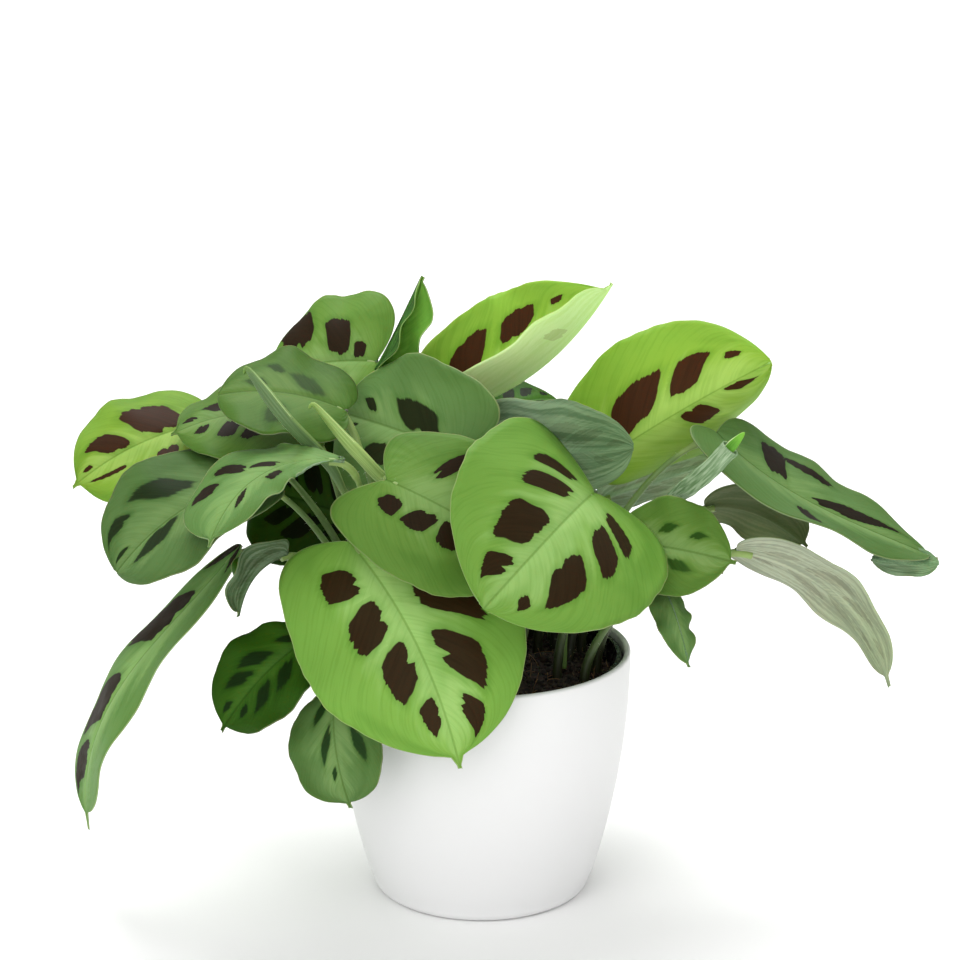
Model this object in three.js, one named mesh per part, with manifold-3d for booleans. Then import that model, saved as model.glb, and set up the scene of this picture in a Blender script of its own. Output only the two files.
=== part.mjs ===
// Potted prayer plant (maranta): white cover pot, black nursery pot, soil, and patterned leaves on stalks.
// Millimetres, +Z up, origin at the middle of the pot's foot, -Y towards the viewer.
import * as THREE from 'three';
import { mergeVertices } from 'three/addons/utils/BufferGeometryUtils.js';
import Module from 'manifold-3d';

const wasm = await Module();
wasm.setup();
const { clamp, degToRad, lerp, smoothstep } = THREE.MathUtils;

// ---------------------------------------------------------------- driving dimensions
const FIT = 0.3;                  // gap between pieces that rest on or stand in each other
const COVER_POT = {
  height: 114, rimRadius: 67.6, wall: 2.8, floor: 3, sides: 36,
  bulge: 0.001419,                // the wall draws in with the square of the depth below the rim
  footRadius: 45, footRound: 5.4, footChamfer: 3.6, insideCorner: 7,
};
const NURSERY_POT = {
  rimHeight: 111.6, rimRadius: 63.8, wall: 1.4, floor: 1.6, sides: 32,
  lip: 1.2, lipDepth: 9, rimRound: 0.6, footRadius: 44, footRound: 2,
  drainHoles: 6, drainRadius: 4, drainRing: 30, drainSides: 10,
};
const SOIL = {
  edgeHeight: 102, crown: 3, crownRadius: 60, rings: [58, 44, 26], sides: 32,
};
const STALK = {
  sheath: 2.5, neck: 1.35,        // radius where it leaves the soil, and close under the blade
  joint: 1.7, jointFrom: 0.8,     // the swollen joint, over the last share of the stalk
  sides: 6, steps: 6,
  rootRise: 1, buried: 14,        // its curve starts just above the soil, over a straight buried foot
  hole: 3.4, holeSides: 6,
  lift: 0.45,                     // share of its reach over which it rises straight
  neckLength: 16, entersBlade: 0.07,
};
const BLADE = {
  thick: 0.8, midribThick: 1.7, midribShare: 0.25, leastHalfWidth: 1.7,
  stations: 8,
  across: [-1, -0.68, -0.34, 0, 0.34, 0.68, 1],
  plainAcross: [-1, -0.5, 0, 0.5, 1],
  dripTip: 0.045, dripTipWidth: 0.1,
  footCurve: [2.6, 0.52],         // powers that round the outline between the stalk and the widest place
  tipCurve: [2.2, 0.62],          // and between the widest place and the tip
  lobeReach: 0.4,                 // share of the midrib beside which the heart lobes hang back
  halfShift: 0.37,                // the two edges don't wave together
};
const LEAF_DEFAULTS = {
  arch: [10, 8], sway: [0, 0], fold: [8, 8], curl: [-12, -12],
  widest: 0.45, lobe: [0.55, 0.55], wave: 1.5, waves: 2.5, bow: [0, 0, 0], neck: STALK.neckLength,
};
const NEW_LEAF = { steps: 10, slimBy: 0.5, swellFrom: 0.45, swellTo: 0.7, point: 0.22, blunt: 0.35 };

// ---------------------------------------------------------------- finishes
const finish = (color, roughness) => (
  new THREE.MeshStandardMaterial({ color, roughness, metalness: 0 })
);
const LEAF_COLOURS = {
  lime: 0x9cc43a, mid: 0x7fae52, pale: 0x86ab6c, blue: 0x5d8660, dark: 0x35592f, rolled: 0x8fae6a,
};
const leafFinish = (green) => finish(LEAF_COLOURS[green], 0.52);

// ---------------------------------------------------------------- solids
const UP = new THREE.Vector3(0, 0, 1);
const vector = (numbers) => new THREE.Vector3(...numbers);

function toSolid(geometry) {
  geometry.deleteAttribute('normal');
  geometry.deleteAttribute('uv');
  const merged = mergeVertices(geometry, 1e-3);
  const vertProperties = new Float32Array(merged.attributes.position.array);
  const triVerts = new Uint32Array(merged.index.array);
  return new wasm.Manifold(new wasm.Mesh({ numProp: 3, vertProperties, triVerts }));
}

function toMesh(name, solid, material) {
  const { vertProperties, triVerts } = solid.getMesh();
  const geometry = new THREE.BufferGeometry();
  geometry.setAttribute('position', new THREE.BufferAttribute(new Float32Array(vertProperties), 3));
  geometry.setIndex(new THREE.BufferAttribute(new Uint32Array(triVerts), 1));
  geometry.computeVertexNormals();
  const mesh = new THREE.Mesh(geometry, material);
  mesh.name = name;
  return mesh;
}

function fromPoints(points, index) {
  const geometry = new THREE.BufferGeometry().setFromPoints(points);
  geometry.setIndex(index);
  return geometry;
}

// A closed round body from rings of points, with a flat cap at each end.
function loft(rings) {
  const count = rings[0].length;
  const index = [];
  for (let r = 0; r < rings.length - 1; r += 1) {
    for (let k = 0; k < count; k += 1) {
      const a = r * count + k;
      const b = r * count + (k + 1) % count;
      index.push(a, b, b + count, a, b + count, a + count);
    }
  }
  const last = (rings.length - 1) * count;
  for (let k = 1; k < count - 1; k += 1) {
    index.push(0, k + 1, k);
    index.push(last, last + k, last + k + 1);
  }
  return fromPoints(rings.flat(), index);
}

// ---------------------------------------------------------------- leaf blades
// Share of the half width at t along the midrib: round at the stalk, blunt ahead, with a small drip tip.
function bladeOutline(t, widest) {
  const [footIn, footOut] = BLADE.footCurve;
  if (t < widest) return (1 - (1 - t / widest) ** footIn) ** footOut;
  const fall = clamp((t - widest) / (1 - BLADE.dripTip - widest), 0, 1);
  const spike = BLADE.dripTipWidth * clamp((1 - t) / (2 * BLADE.dripTip), 0, 1) ** 0.8;
  const [tipIn, tipOut] = BLADE.tipCurve;
  return Math.max((1 - fall ** tipIn) ** tipOut, spike);
}

// The midrib is one Bezier curve that arches towards the leaf's face and sways to its side.
function midrib(leaf) {
  const base = vector(leaf.base);
  const tip = vector(leaf.tip);
  const chord = tip.clone().sub(base);
  const along = chord.clone().normalize();
  const face = vector(leaf.face);
  face.addScaledVector(along, -face.dot(along)).normalize();
  const side = new THREE.Vector3().crossVectors(along, face);
  const [near, far] = [0, 1].map((k) => (
    base.clone().addScaledVector(chord, (k + 1) / 3)
      .addScaledVector(face, leaf.arch[k]).addScaledVector(side, leaf.sway[k])
  ));
  return { curve: new THREE.CubicBezierCurve3(base, near, far, tip), side };
}

// Point and normal of the blade's middle surface: t runs along the midrib, q from edge (-1) to edge (1).
function bladeSurface(leaf) {
  const { curve, side } = midrib(leaf);
  return (t, q) => {
    const along = curve.getTangent(t);
    const across = side.clone().addScaledVector(along, -side.dot(along)).normalize();
    const up = new THREE.Vector3().crossVectors(across, along);

    // Each half leaves the midrib at its fold angle and bends by its curl angle on the way to the edge.
    const half = Math.max(BLADE.leastHalfWidth, leaf.width / 2 * bladeOutline(t, leaf.widest));
    const share = Math.abs(q);
    const which = q < 0 ? 0 : 1;
    const sign = q < 0 ? -1 : 1;
    const fold = degToRad(leaf.fold[which]);
    const curl = degToRad(leaf.curl[which]) || 1e-4;
    const bent = fold + curl * share;
    const out = half * (Math.sin(bent) - Math.sin(fold)) / curl;
    const lift = half * (Math.cos(fold) - Math.cos(bent)) / curl;
    const normal = up.clone().multiplyScalar(Math.cos(bent))
      .addScaledVector(across, -sign * Math.sin(bent));

    const turns = leaf.waves * t + (q < 0 ? BLADE.halfShift : 0);
    const ripple = leaf.wave * share ** 2 * Math.sqrt(Math.sin(Math.PI * t))
      * Math.sin(2 * Math.PI * turns);
    const heart = leaf.lobe[which] * half * share ** 2 * Math.max(0, 1 - t / BLADE.lobeReach) ** 2;
    const point = curve.getPoint(t).addScaledVector(across, sign * out).addScaledVector(up, lift)
      .addScaledVector(normal, ripple).addScaledVector(along, -heart);
    return { point, normal };
  };
}

// A blade is a thin slab between two like grids, split along the same diagonals on both faces.
function bladeBody(leaf, across) {
  const surface = bladeSurface(leaf);
  const { stations } = BLADE;
  const columns = across.length;
  const points = [];
  for (const faceSign of [1, -1]) {
    for (let i = 0; i <= stations; i += 1) {
      const t = (1 - Math.cos(Math.PI * i / stations)) / 2;
      for (const q of across) {
        const { point, normal } = surface(t, q);
        const nearMidrib = Math.max(0, 1 - Math.abs(q) / BLADE.midribShare) * (1 - t);
        const thick = lerp(BLADE.thick, BLADE.midribThick, nearMidrib);
        points.push(point.addScaledVector(normal, faceSign * thick / 2));
      }
    }
  }
  const under = (stations + 1) * columns;
  const index = [];
  const quad = (a, b, c, d) => index.push(a, b, c, a, c, d);
  for (let i = 0; i < stations; i += 1) {
    for (let j = 0; j < columns - 1; j += 1) {
      const a = i * columns + j;
      const [b, c, d] = [a + 1, a + columns + 1, a + columns];
      quad(a, b, c, d);
      index.push(a + under, c + under, b + under, a + under, d + under, c + under);
    }
    const left = i * columns;
    const right = left + columns - 1;
    quad(left, left + columns, left + columns + under, left + under);
    quad(right, right + under, right + columns + under, right + columns);
  }
  const end = stations * columns;
  for (let j = 0; j < columns - 1; j += 1) {
    quad(j, j + under, j + 1 + under, j + 1);
    quad(end + j, end + j + 1, end + j + 1 + under, end + j + under);
  }
  return toSolid(fromPoints(points, index));
}

// ---------------------------------------------------------------- stalks
const soilTop = (x, y) => (
  SOIL.edgeHeight + SOIL.crown * (1 - (x * x + y * y) / SOIL.crownRadius ** 2)
);
const stalkStart = ([x, y]) => new THREE.Vector3(x, y, soilTop(x, y) + STALK.rootRise);

function ringAround(centre, along, radius) {
  const across = new THREE.Vector3(0, 1, 0).cross(along).normalize();
  const other = new THREE.Vector3().crossVectors(along, across);
  return Array.from({ length: STALK.sides }, (_, k) => {
    const a = 2 * Math.PI * k / STALK.sides;
    return centre.clone().addScaledVector(across, radius * Math.cos(a))
      .addScaledVector(other, radius * Math.sin(a));
  });
}

// The straight foot that stands in its hole in the soil.
function footRing(start) {
  return ringAround(start.clone().addScaledVector(UP, -STALK.buried), UP, STALK.sheath);
}

// A stalk starts upright in its hole, rises, leans out and meets the blade along its midrib.
function stalkCurve(leaf) {
  const start = stalkStart(leaf.root);
  const { curve } = midrib(leaf);
  const end = curve.getPoint(STALK.entersBlade);
  const rise = start.clone().add(vector(leaf.bow));
  rise.z += end.distanceTo(start) * STALK.lift;
  const arrive = curve.getPoint(0).addScaledVector(curve.getTangent(0), -leaf.neck);
  return new THREE.CubicBezierCurve3(start, rise, arrive, end);
}

function stalkBody(leaf) {
  const curve = stalkCurve(leaf);
  const rings = [footRing(curve.getPoint(0))];
  for (let i = 0; i <= STALK.steps; i += 1) {
    const s = i / STALK.steps;
    const slim = lerp(STALK.sheath, STALK.neck, Math.min(1, s / STALK.jointFrom));
    const radius = s > STALK.jointFrom && s < 1 ? STALK.joint : slim;
    rings.push(ringAround(curve.getPoint(s), curve.getTangent(s), radius));
  }
  return toSolid(loft(rings));
}

function leafMesh(row) {
  const leaf = { ...LEAF_DEFAULTS, ...row };
  const blade = bladeBody(leaf, leaf.plain ? BLADE.plainAcross : BLADE.across);
  return toMesh(leaf.name, blade.add(stalkBody(leaf)), leafFinish(leaf.green));
}

// ---------------------------------------------------------------- the leaves
// root: where the stalk leaves the soil. base, tip: the two ends of the blade. face: where its upper
// side looks. arch, sway: how far the midrib stands off the straight line, upward and sideways.
// fold, curl: degrees for the two halves. bow: pushes the lower stalk aside. neck: how far ahead of the
// blade the stalk comes into line with it. lobe: how far the heart lobe of each half reaches back, where
// a negative one makes the foot of the blade a wedge. widest: where along the blade it is widest, from 0
// to 1. plain: a coarser grid.
const LEAVES = [
  { name: 'leaf_front_over_rim', green: 'mid', root: [-22, -34],
    base: [-58, -30, 173], tip: [-9, -94, 92], face: [-0.15, -0.85, 0.5], width: 98, widest: 0.42,
    arch: [8, 12], fold: [-6, 6], curl: [-14, -14], lobe: [0.1, 0.9], sway: [-9, -10] },
  { name: 'leaf_front_centre', green: 'mid', root: [16, -18],
    base: [50, -15, 191], tip: [-2, -98, 161], face: [0.42, -0.5, 0.75], width: 102, widest: 0.38,
    arch: [22, 14], fold: [4, 10], curl: [-14, -8], lobe: [0.9, 0.9] },
  { name: 'leaf_behind_centre', green: 'mid', root: [-17, -23],
    base: [-41, -44, 205], tip: [24, -52, 170], face: [-0.1, -0.75, 0.55], width: 75, widest: 0.4,
    arch: [10, 6], bow: [-3, 44, 34], fold: [-14, 8], lobe: [0.9, 1.3] },
  { name: 'leaf_middle_left', green: 'blue', root: [-4, -6],
    base: [-12, -4, 207], tip: [-67, 44, 213], face: [-0.35, -0.75, 0.5], width: 72, widest: 0.38,
    arch: [8, 6], lobe: [0.2, 1.2] },
  { name: 'leaf_top_half_rolled', green: 'lime', root: [-2, 34],
    base: [-3, 52, 215], tip: [60, 62, 269], face: [-0.1, -0.85, 0.45], width: 84, widest: 0.34,
    arch: [4, 0], fold: [6, 96], curl: [-14, 6], lobe: [1.4, 0.8], sway: [12, 9] },
  { name: 'leaf_upper_right', green: 'lime', root: [26, 20],
    base: [52, 34, 190], tip: [136, 40, 239], face: [0.1, -0.75, 0.6], width: 88, widest: 0.46,
    arch: [8, 8], fold: [4, -58], curl: [-14, -40], lobe: [0.9, 0.6] },
  { name: 'leaf_middle_curled', green: 'blue', root: [6, 8],
    base: [2, 16, 210], tip: [71, 8, 206], face: [0.1, 0.62, 0.62], width: 56, arch: [-8, -6],
    fold: [-28, 8], curl: [10, 25], plain: true },
  { name: 'leaf_right_underside', green: 'blue', root: [34, 28],
    base: [62, 70, 164], tip: [112, 70, 183], face: [-0.1, 0.8, 0.5], width: 30, arch: [0, 0],
    plain: true },
  { name: 'leaf_right_bright', green: 'mid', root: [34, -14],
    base: [63, 4, 162], tip: [112, -26, 162], face: [0.15, -0.85, 0.42], width: 46, arch: [8, 8] },
  { name: 'leaf_right_hanging', green: 'blue', root: [46, -20],
    base: [82, -16, 146], tip: [92, -34, 116], face: [0.1, -0.9, 0.2], width: 20, widest: 0.2,
    fold: [-40, 0], lobe: [0.3, 0.3], plain: true },
  { name: 'leaf_right_dull', green: 'blue', root: [46, 22],
    base: [102, 26, 173], tip: [150, 28, 153], face: [0.1, 0.6, 0.7], width: 54, plain: true },
  { name: 'leaf_far_right_long', green: 'blue', root: [40, 10],
    base: [107, 29, 207], tip: [208, 15, 151], face: [0.35, -0.6, 0.7], width: 62, widest: 0.24,
    arch: [8, 10], bow: [4, 14, 0], fold: [-12, 36], lobe: [0.6, 0.6], sway: [24, 14] },
  { name: 'leaf_far_right_low', green: 'pale', root: [52, -4],
    base: [114, -5, 162], tip: [183, -20, 102], face: [0.45, 0.65, 0.55], width: 40, widest: 0.4,
    arch: [20, 24] },
  { name: 'leaf_top_inside', green: 'dark', root: [6, 22],
    base: [4, 54, 204], tip: [38, 82, 208], face: [0, -0.3, 0.95], width: 44, neck: 30,
    plain: true },
  { name: 'leaf_top_left', green: 'mid', root: [-18, 28],
    base: [-49, 72, 230], tip: [-104, 90, 218], face: [-0.1, -0.7, 0.7], width: 80, widest: 0.36,
    arch: [8, 6], bow: [-4, 10, 0], curl: [-12, -25], lobe: [0.3, 0.7] },
  { name: 'leaf_left_behind', green: 'mid', root: [-44, 2],
    base: [-82, 30, 215], tip: [-140, 18, 209], face: [-0.1, -0.4, 0.85], width: 68, arch: [8, 8],
    bow: [-16, -4, 0], fold: [4, -10], lobe: [0.9, 0.9], plain: true },
  { name: 'leaf_left_pale', green: 'pale', root: [-31, -8],
    base: [-60, 6, 223], tip: [-120, 8, 229], face: [-0.1, -0.3, 0.9], width: 72, arch: [8, 8],
    bow: [-10, -22, 14], fold: [8, 5], lobe: [0.3, 0.5], neck: 6 },
  { name: 'leaf_far_left_lime', green: 'lime', root: [-50, 9],
    base: [-123, 44, 208], tip: [-186, 22, 183], face: [-0.1, -0.5, 0.8], width: 76, widest: 0.52,
    arch: [10, 10], fold: [8, 4], curl: [-12, -26], lobe: [0.4, 0.4] },
  { name: 'leaf_left_broad', green: 'blue', root: [-50, -10],
    base: [-102, -10, 196], tip: [-162, -34, 157], face: [-0.2, -0.45, 0.85], width: 82,
    widest: 0.58, arch: [12, 12], fold: [18, 6], lobe: [0.8, 0.8] },
  { name: 'leaf_left_front', green: 'blue', root: [-41, -7],
    base: [-59, -44, 214], tip: [-115, -74, 184], face: [-0.2, -0.55, 0.8], width: 58, widest: 0.7,
    arch: [6, 6], bow: [-16, 4, 10], fold: [34, -14], lobe: [-0.8, -1.6], sway: [20, 18] },
  { name: 'leaf_far_left_hanging', green: 'blue', root: [-54, 0],
    base: [-108, -5, 164], tip: [-179, -20, 33], face: [-0.8, -0.35, 0.45], width: 60, widest: 0.68,
    arch: [22, 20], fold: [2, -2], curl: [-6, -6], lobe: [0.1, 0.1], sway: [0, 16] },
  { name: 'leaf_left_small', green: 'dark', root: [-50, -20],
    base: [-86, -24, 166], tip: [-107, -34, 140], face: [-0.5, -0.4, 0.6], width: 28,
    fold: [80, 10], plain: true },
  { name: 'leaf_low_left_dark', green: 'dark', root: [-42, -32],
    base: [-71, -38, 134], tip: [-114, -52, 93], face: [-0.35, -0.6, 0.6], width: 48, widest: 0.55,
    lobe: [-0.5, -0.5] },
  { name: 'leaf_low_left_by_pot', green: 'blue', root: [-32, -44],
    base: [-63, -48, 116], tip: [-57, -70, 64], face: [-0.5, -0.75, 0.2], width: 48, widest: 0.66,
    lobe: [-0.6, -0.6] },
  { name: 'leaf_top_folded', green: 'dark', root: [-12, 18],
    base: [-48, 58, 229], tip: [-27, 58, 273], face: [-0.2, -0.9, 0.3], width: 36, arch: [4, 2],
    fold: [110, 30], curl: [0, 0], sway: [2, 1], plain: true },
  { name: 'leaf_left_inside', green: 'dark', root: [-32, 20],
    base: [-62, 30, 152], tip: [-112, 52, 158], face: [-0.2, -0.3, 0.9], width: 56, plain: true },
  { name: 'leaf_back_right', green: 'mid', root: [22, 50],
    base: [18, 72, 166], tip: [40, 130, 116], face: [0.1, 0.7, 0.7], width: 80, plain: true },
  { name: 'leaf_back_left', green: 'mid', root: [-28, 46],
    base: [-38, 70, 164], tip: [-64, 126, 118], face: [-0.1, 0.7, 0.7], width: 80, plain: true },
  { name: 'leaf_back_over_rim', green: 'blue', root: [-4, 54],
    base: [-8, 66, 140], tip: [-10, 106, 84], face: [0, 0.8, 0.5], width: 72, plain: true },
  { name: 'leaf_back_far_right', green: 'blue', root: [33, 43],
    base: [48, 60, 134], tip: [66, 106, 96], face: [0.3, 0.6, 0.6], width: 64, plain: true },
  { name: 'leaf_back_far_left', green: 'mid', root: [-40, 36],
    base: [-78, 56, 184], tip: [-140, 100, 158], face: [-0.4, 0.4, 0.8], width: 76, bow: [4, 2, 16],
    plain: true },
  { name: 'leaf_back_right_flat', green: 'dark', root: [42, 33],
    base: [62, 54, 148], tip: [106, 102, 114], face: [0.4, 0.4, 0.8], width: 68, plain: true },
  { name: 'leaf_back_top_left', green: 'mid', root: [-10, 42],
    base: [-22, 70, 196], tip: [-44, 130, 184], face: [-0.1, 0.2, 0.95], width: 70, plain: true },
  { name: 'leaf_back_top_right', green: 'lime', root: [12, 42],
    base: [22, 62, 192], tip: [44, 124, 176], face: [0.1, 0.3, 0.95], width: 72, plain: true },
];

// Rolled new leaves: a stalk that swells into a furled blade and ends in a point.
const NEW_LEAVES = [
  { name: 'new_leaf_right', root: [36, -4], tip: [118, -18, 214], radius: 3.2,
    path: [[40, 3, 128], [66, 10, 160], [86, 8, 180], [101, -12, 197]] },
  { name: 'new_leaf_left_long', root: [-36, 0], tip: [-101, -22, 248], radius: 2.8,
    path: [[-38, -1, 135], [-48, -4, 165], [-60, -10, 188], [-67, -21, 206], [-84, -36, 230]] },
  { name: 'new_leaf_left_short', root: [-27, -20], tip: [-73, -22, 232], radius: 3.4,
    path: [[-29, -21, 135], [-37, -21, 160], [-45, -17, 183], [-51, -24, 207], [-61, -24, 220]] },
];

function newLeafMesh({ name, root, path, tip, radius }) {
  const start = stalkStart(root);
  const curve = new THREE.CatmullRomCurve3([start, ...path.map(vector), vector(tip)]);
  const rings = [footRing(start)];
  for (let i = 0; i <= NEW_LEAF.steps; i += 1) {
    const s = i / NEW_LEAF.steps;
    const stalk = lerp(STALK.sheath, STALK.neck, Math.min(1, s / NEW_LEAF.slimBy));
    const furled = radius * Math.min(1, (1 - s) / NEW_LEAF.point) + NEW_LEAF.blunt;
    const swell = smoothstep(s, NEW_LEAF.swellFrom, NEW_LEAF.swellTo);
    rings.push(ringAround(curve.getPointAt(s), curve.getTangentAt(s), lerp(stalk, furled, swell)));
  }
  return toMesh(name, toSolid(loft(rings)), leafFinish('rolled'));
}

// ---------------------------------------------------------------- pots and soil
// Each profile holds [radius, height] points, from the axis up the outside and back down the inside.
function turned(profile, sides) {
  const geometry = new THREE.LatheGeometry(profile.map(([r, z]) => new THREE.Vector2(r, z)), sides);
  geometry.rotateX(Math.PI / 2);
  return toSolid(geometry);
}

function upright(radius, length, sides, [x, y, z]) {
  const geometry = new THREE.CylinderGeometry(radius, radius, length, sides);
  geometry.rotateX(Math.PI / 2);
  geometry.translate(x, y, z);
  return toSolid(geometry);
}

const coverRadius = (z) => COVER_POT.rimRadius - COVER_POT.bulge * (COVER_POT.height - z) ** 2;

function coverPot() {
  const { height, wall, floor, footRadius, footRound, footChamfer, insideCorner, sides } = COVER_POT;
  const shoulder = height - wall / 2;
  const outer = [footRound, 20, 38, 58, 80, 98, shoulder].map((z) => [coverRadius(z), z]);
  const rim = [60, 120].map((degrees) => [
    coverRadius(height) - wall / 2 + wall / 2 * Math.cos(degToRad(degrees)),
    shoulder + wall / 2 * Math.sin(degToRad(degrees)),
  ]);
  const inner = [shoulder, 90, 62, 36, floor + insideCorner].map((z) => [coverRadius(z) - wall, z]);
  const profile = [
    [0, 0], [footRadius, 0], [footRadius + footChamfer, footRound / 4], ...outer, ...rim, ...inner,
    [coverRadius(floor) - wall - insideCorner / 2, floor], [0, floor],
  ];
  return toMesh('cover_pot', turned(profile, sides), finish(0xf2f2f1, 0.45));
}

const nurseryFoot = COVER_POT.floor + FIT;
const nurseryRadius = (z) => lerp(
  NURSERY_POT.footRadius,
  NURSERY_POT.rimRadius - NURSERY_POT.lip,
  (z - nurseryFoot) / (NURSERY_POT.rimHeight - nurseryFoot),
);

function nurseryPot() {
  const { rimHeight, rimRadius, wall, floor, lip, lipDepth, rimRound, footRound } = NURSERY_POT;
  const { drainHoles, drainRadius, drainRing, drainSides, sides } = NURSERY_POT;
  const foot = nurseryFoot;
  const under = rimHeight - lipDepth;
  const inside = rimRadius - lip - wall;
  const profile = [
    [0, foot], [nurseryRadius(foot) - footRound, foot],
    [nurseryRadius(foot + footRound), foot + footRound], [nurseryRadius(under), under],
    [rimRadius, under + rimRound], [rimRadius, rimHeight - rimRound],
    [rimRadius - rimRound, rimHeight], [inside + rimRound, rimHeight], [inside, rimHeight - rimRound],
    [nurseryRadius(foot + floor) - wall, foot + floor], [0, foot + floor],
  ];
  let body = turned(profile, sides);
  for (let k = 0; k < drainHoles; k += 1) {
    const a = 2 * Math.PI * k / drainHoles;
    const centre = [drainRing * Math.cos(a), drainRing * Math.sin(a), foot];
    body = body.subtract(upright(drainRadius, 4 * floor, drainSides, centre));
  }
  return toMesh('nursery_pot', body, finish(0x151515, 0.4));
}

// Soil fills the nursery pot to a low crown; every stalk has its own hole.
function soil(roots) {
  const bottom = nurseryFoot + NURSERY_POT.floor + FIT;
  const edge = (z) => nurseryRadius(z) - NURSERY_POT.wall - FIT;
  const corner = NURSERY_POT.footRound;
  const profile = [
    [0, bottom], [edge(bottom) - corner, bottom], [edge(bottom + corner), bottom + corner],
    [edge(SOIL.edgeHeight), SOIL.edgeHeight],
    ...SOIL.rings.map((r) => [r, soilTop(r, 0)]), [0, soilTop(0, 0)],
  ];
  let body = turned(profile, SOIL.sides);
  const depth = STALK.buried + FIT;
  for (const root of roots) {
    const { x, y, z } = stalkStart(root);
    body = body.subtract(upright(STALK.hole, 2 * depth, STALK.holeSides, [x, y, z]));
  }
  return toMesh('soil', body, finish(0x2b1d16, 0.95));
}

// ---------------------------------------------------------------- the whole plant
const plant = new THREE.Group();
plant.add(coverPot());
plant.add(nurseryPot());
plant.add(soil([...LEAVES, ...NEW_LEAVES].map(({ root }) => root)));
for (const leaf of LEAVES) plant.add(leafMesh(leaf));
for (const leaf of NEW_LEAVES) plant.add(newLeafMesh(leaf));
export default plant;
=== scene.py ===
# %% [markdown]
# # A potted prayer plant
#
# The plant is a maranta: broad blotched leaves on thin stalks, three rolled new leaves, dark soil
# in a black nursery pot, and a white cover pot around it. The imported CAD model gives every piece
# its place. This script puts a finer piece in place of each CAD solid and gives it a surface.
# Lengths are written in millimetres and turned into metres where a mesh is made.

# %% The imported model
import math

import bpy
import numpy as np
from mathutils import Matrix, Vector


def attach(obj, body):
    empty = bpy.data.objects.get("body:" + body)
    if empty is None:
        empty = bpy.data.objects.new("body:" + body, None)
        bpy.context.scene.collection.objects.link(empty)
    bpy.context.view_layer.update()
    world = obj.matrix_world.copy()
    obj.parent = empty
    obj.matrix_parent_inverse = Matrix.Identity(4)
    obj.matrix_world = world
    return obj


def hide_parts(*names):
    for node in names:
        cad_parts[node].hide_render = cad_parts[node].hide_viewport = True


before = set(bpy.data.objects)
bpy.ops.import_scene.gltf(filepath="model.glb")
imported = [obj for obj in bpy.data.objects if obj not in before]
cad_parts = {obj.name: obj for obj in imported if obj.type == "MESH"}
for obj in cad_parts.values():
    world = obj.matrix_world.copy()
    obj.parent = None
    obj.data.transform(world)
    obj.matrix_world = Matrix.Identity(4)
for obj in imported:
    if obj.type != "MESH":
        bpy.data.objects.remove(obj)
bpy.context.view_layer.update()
MM = 0.001

# %% [markdown]
# ## Node trees as arithmetic
#
# Leaf blotches and rolled edges are easier to read as formulas than as wiring. `Value` wraps one
# output of a node, and adding or multiplying two of them adds a Math node. `Graph` owns a node tree
# and adds every other kind of node through one method. Materials and Geometry Nodes both build on
# it. Colours are written as the eye sees them, in hex, and `linear` turns them into the numbers
# that a shader works with.

# %% Value and Graph
class Value:
    """One output of a node. Arithmetic on it adds Math nodes to the same tree."""

    def __init__(self, graph, socket):
        self.graph = graph
        self.socket = socket

    def math(self, operation, first, second=0.0):
        return self.graph.node("ShaderNodeMath", {"operation": operation}, {0: first, 1: second})

    def __abs__(self):
        return self.math("ABSOLUTE", self)

    def floor(self):
        return self.math("FLOOR", self)


FORWARD = {"__add__": "ADD", "__sub__": "SUBTRACT", "__mul__": "MULTIPLY", "__truediv__": "DIVIDE",
           "above": "GREATER_THAN", "least": "MINIMUM", "most": "MAXIMUM"}
REFLECTED = {"__radd__": "ADD", "__rsub__": "SUBTRACT", "__rmul__": "MULTIPLY"}
for method, kind in FORWARD.items():
    setattr(Value, method, lambda self, other, kind=kind: self.math(kind, self, other))
for method, kind in REFLECTED.items():
    setattr(Value, method, lambda self, other, kind=kind: self.math(kind, other, self))


def linear(hex_colour):
    """A colour such as "8fbf4f" as the linear red, green, blue and alpha of a shader."""
    parts = [int(hex_colour[k:k + 2], 16) / 255 for k in (0, 2, 4)]
    return (*[p / 12.92 if p < 0.04045 else ((p + 0.055) / 1.055) ** 2.4 for p in parts], 1.0)


class Graph:
    """A node tree, and the one way to add a node to it."""

    def __init__(self, tree):
        self.tree = tree

    def node(self, kind, settings=None, inputs=None, output=0):
        """Adds a node: its settings first, then the value or the link of each named socket."""
        made = self.tree.nodes.new(kind)
        for key, value in (settings or {}).items():
            setattr(made, key, value)
        for key, value in (inputs or {}).items():
            self.plug(made.inputs[key], value)
        return Value(self, made.outputs[output])

    def plug(self, socket, value):
        """Links a Value to a socket, or sets a number, a name or a hex colour on it."""
        if isinstance(value, Value):
            self.tree.links.new(value.socket, socket)
        else:
            is_hex = socket.type == "RGBA" and isinstance(value, str)
            socket.default_value = linear(value) if is_hex else value

    def vector(self, x, y, z):
        return self.node("ShaderNodeCombineXYZ", inputs={0: x, 1: y, 2: z})

    def smooth(self, value, start, end):
        """0 before start and 1 after end, with a soft step between them."""
        return self.node("ShaderNodeMapRange", {"interpolation_type": "SMOOTHSTEP"},
                         {0: value, 1: start, 2: end})

    def noise(self, where, scale=1.0, detail=2.0):
        return self.node("ShaderNodeTexNoise", inputs={"Vector": where, "Scale": scale,
                                                       "Detail": detail})


# %% [markdown]
# ## Materials
#
# `Finish` is a material with one Principled shader. Anything that is the same all over is set
# straight on the shader's socket; only what changes over the surface is linked.

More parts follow.
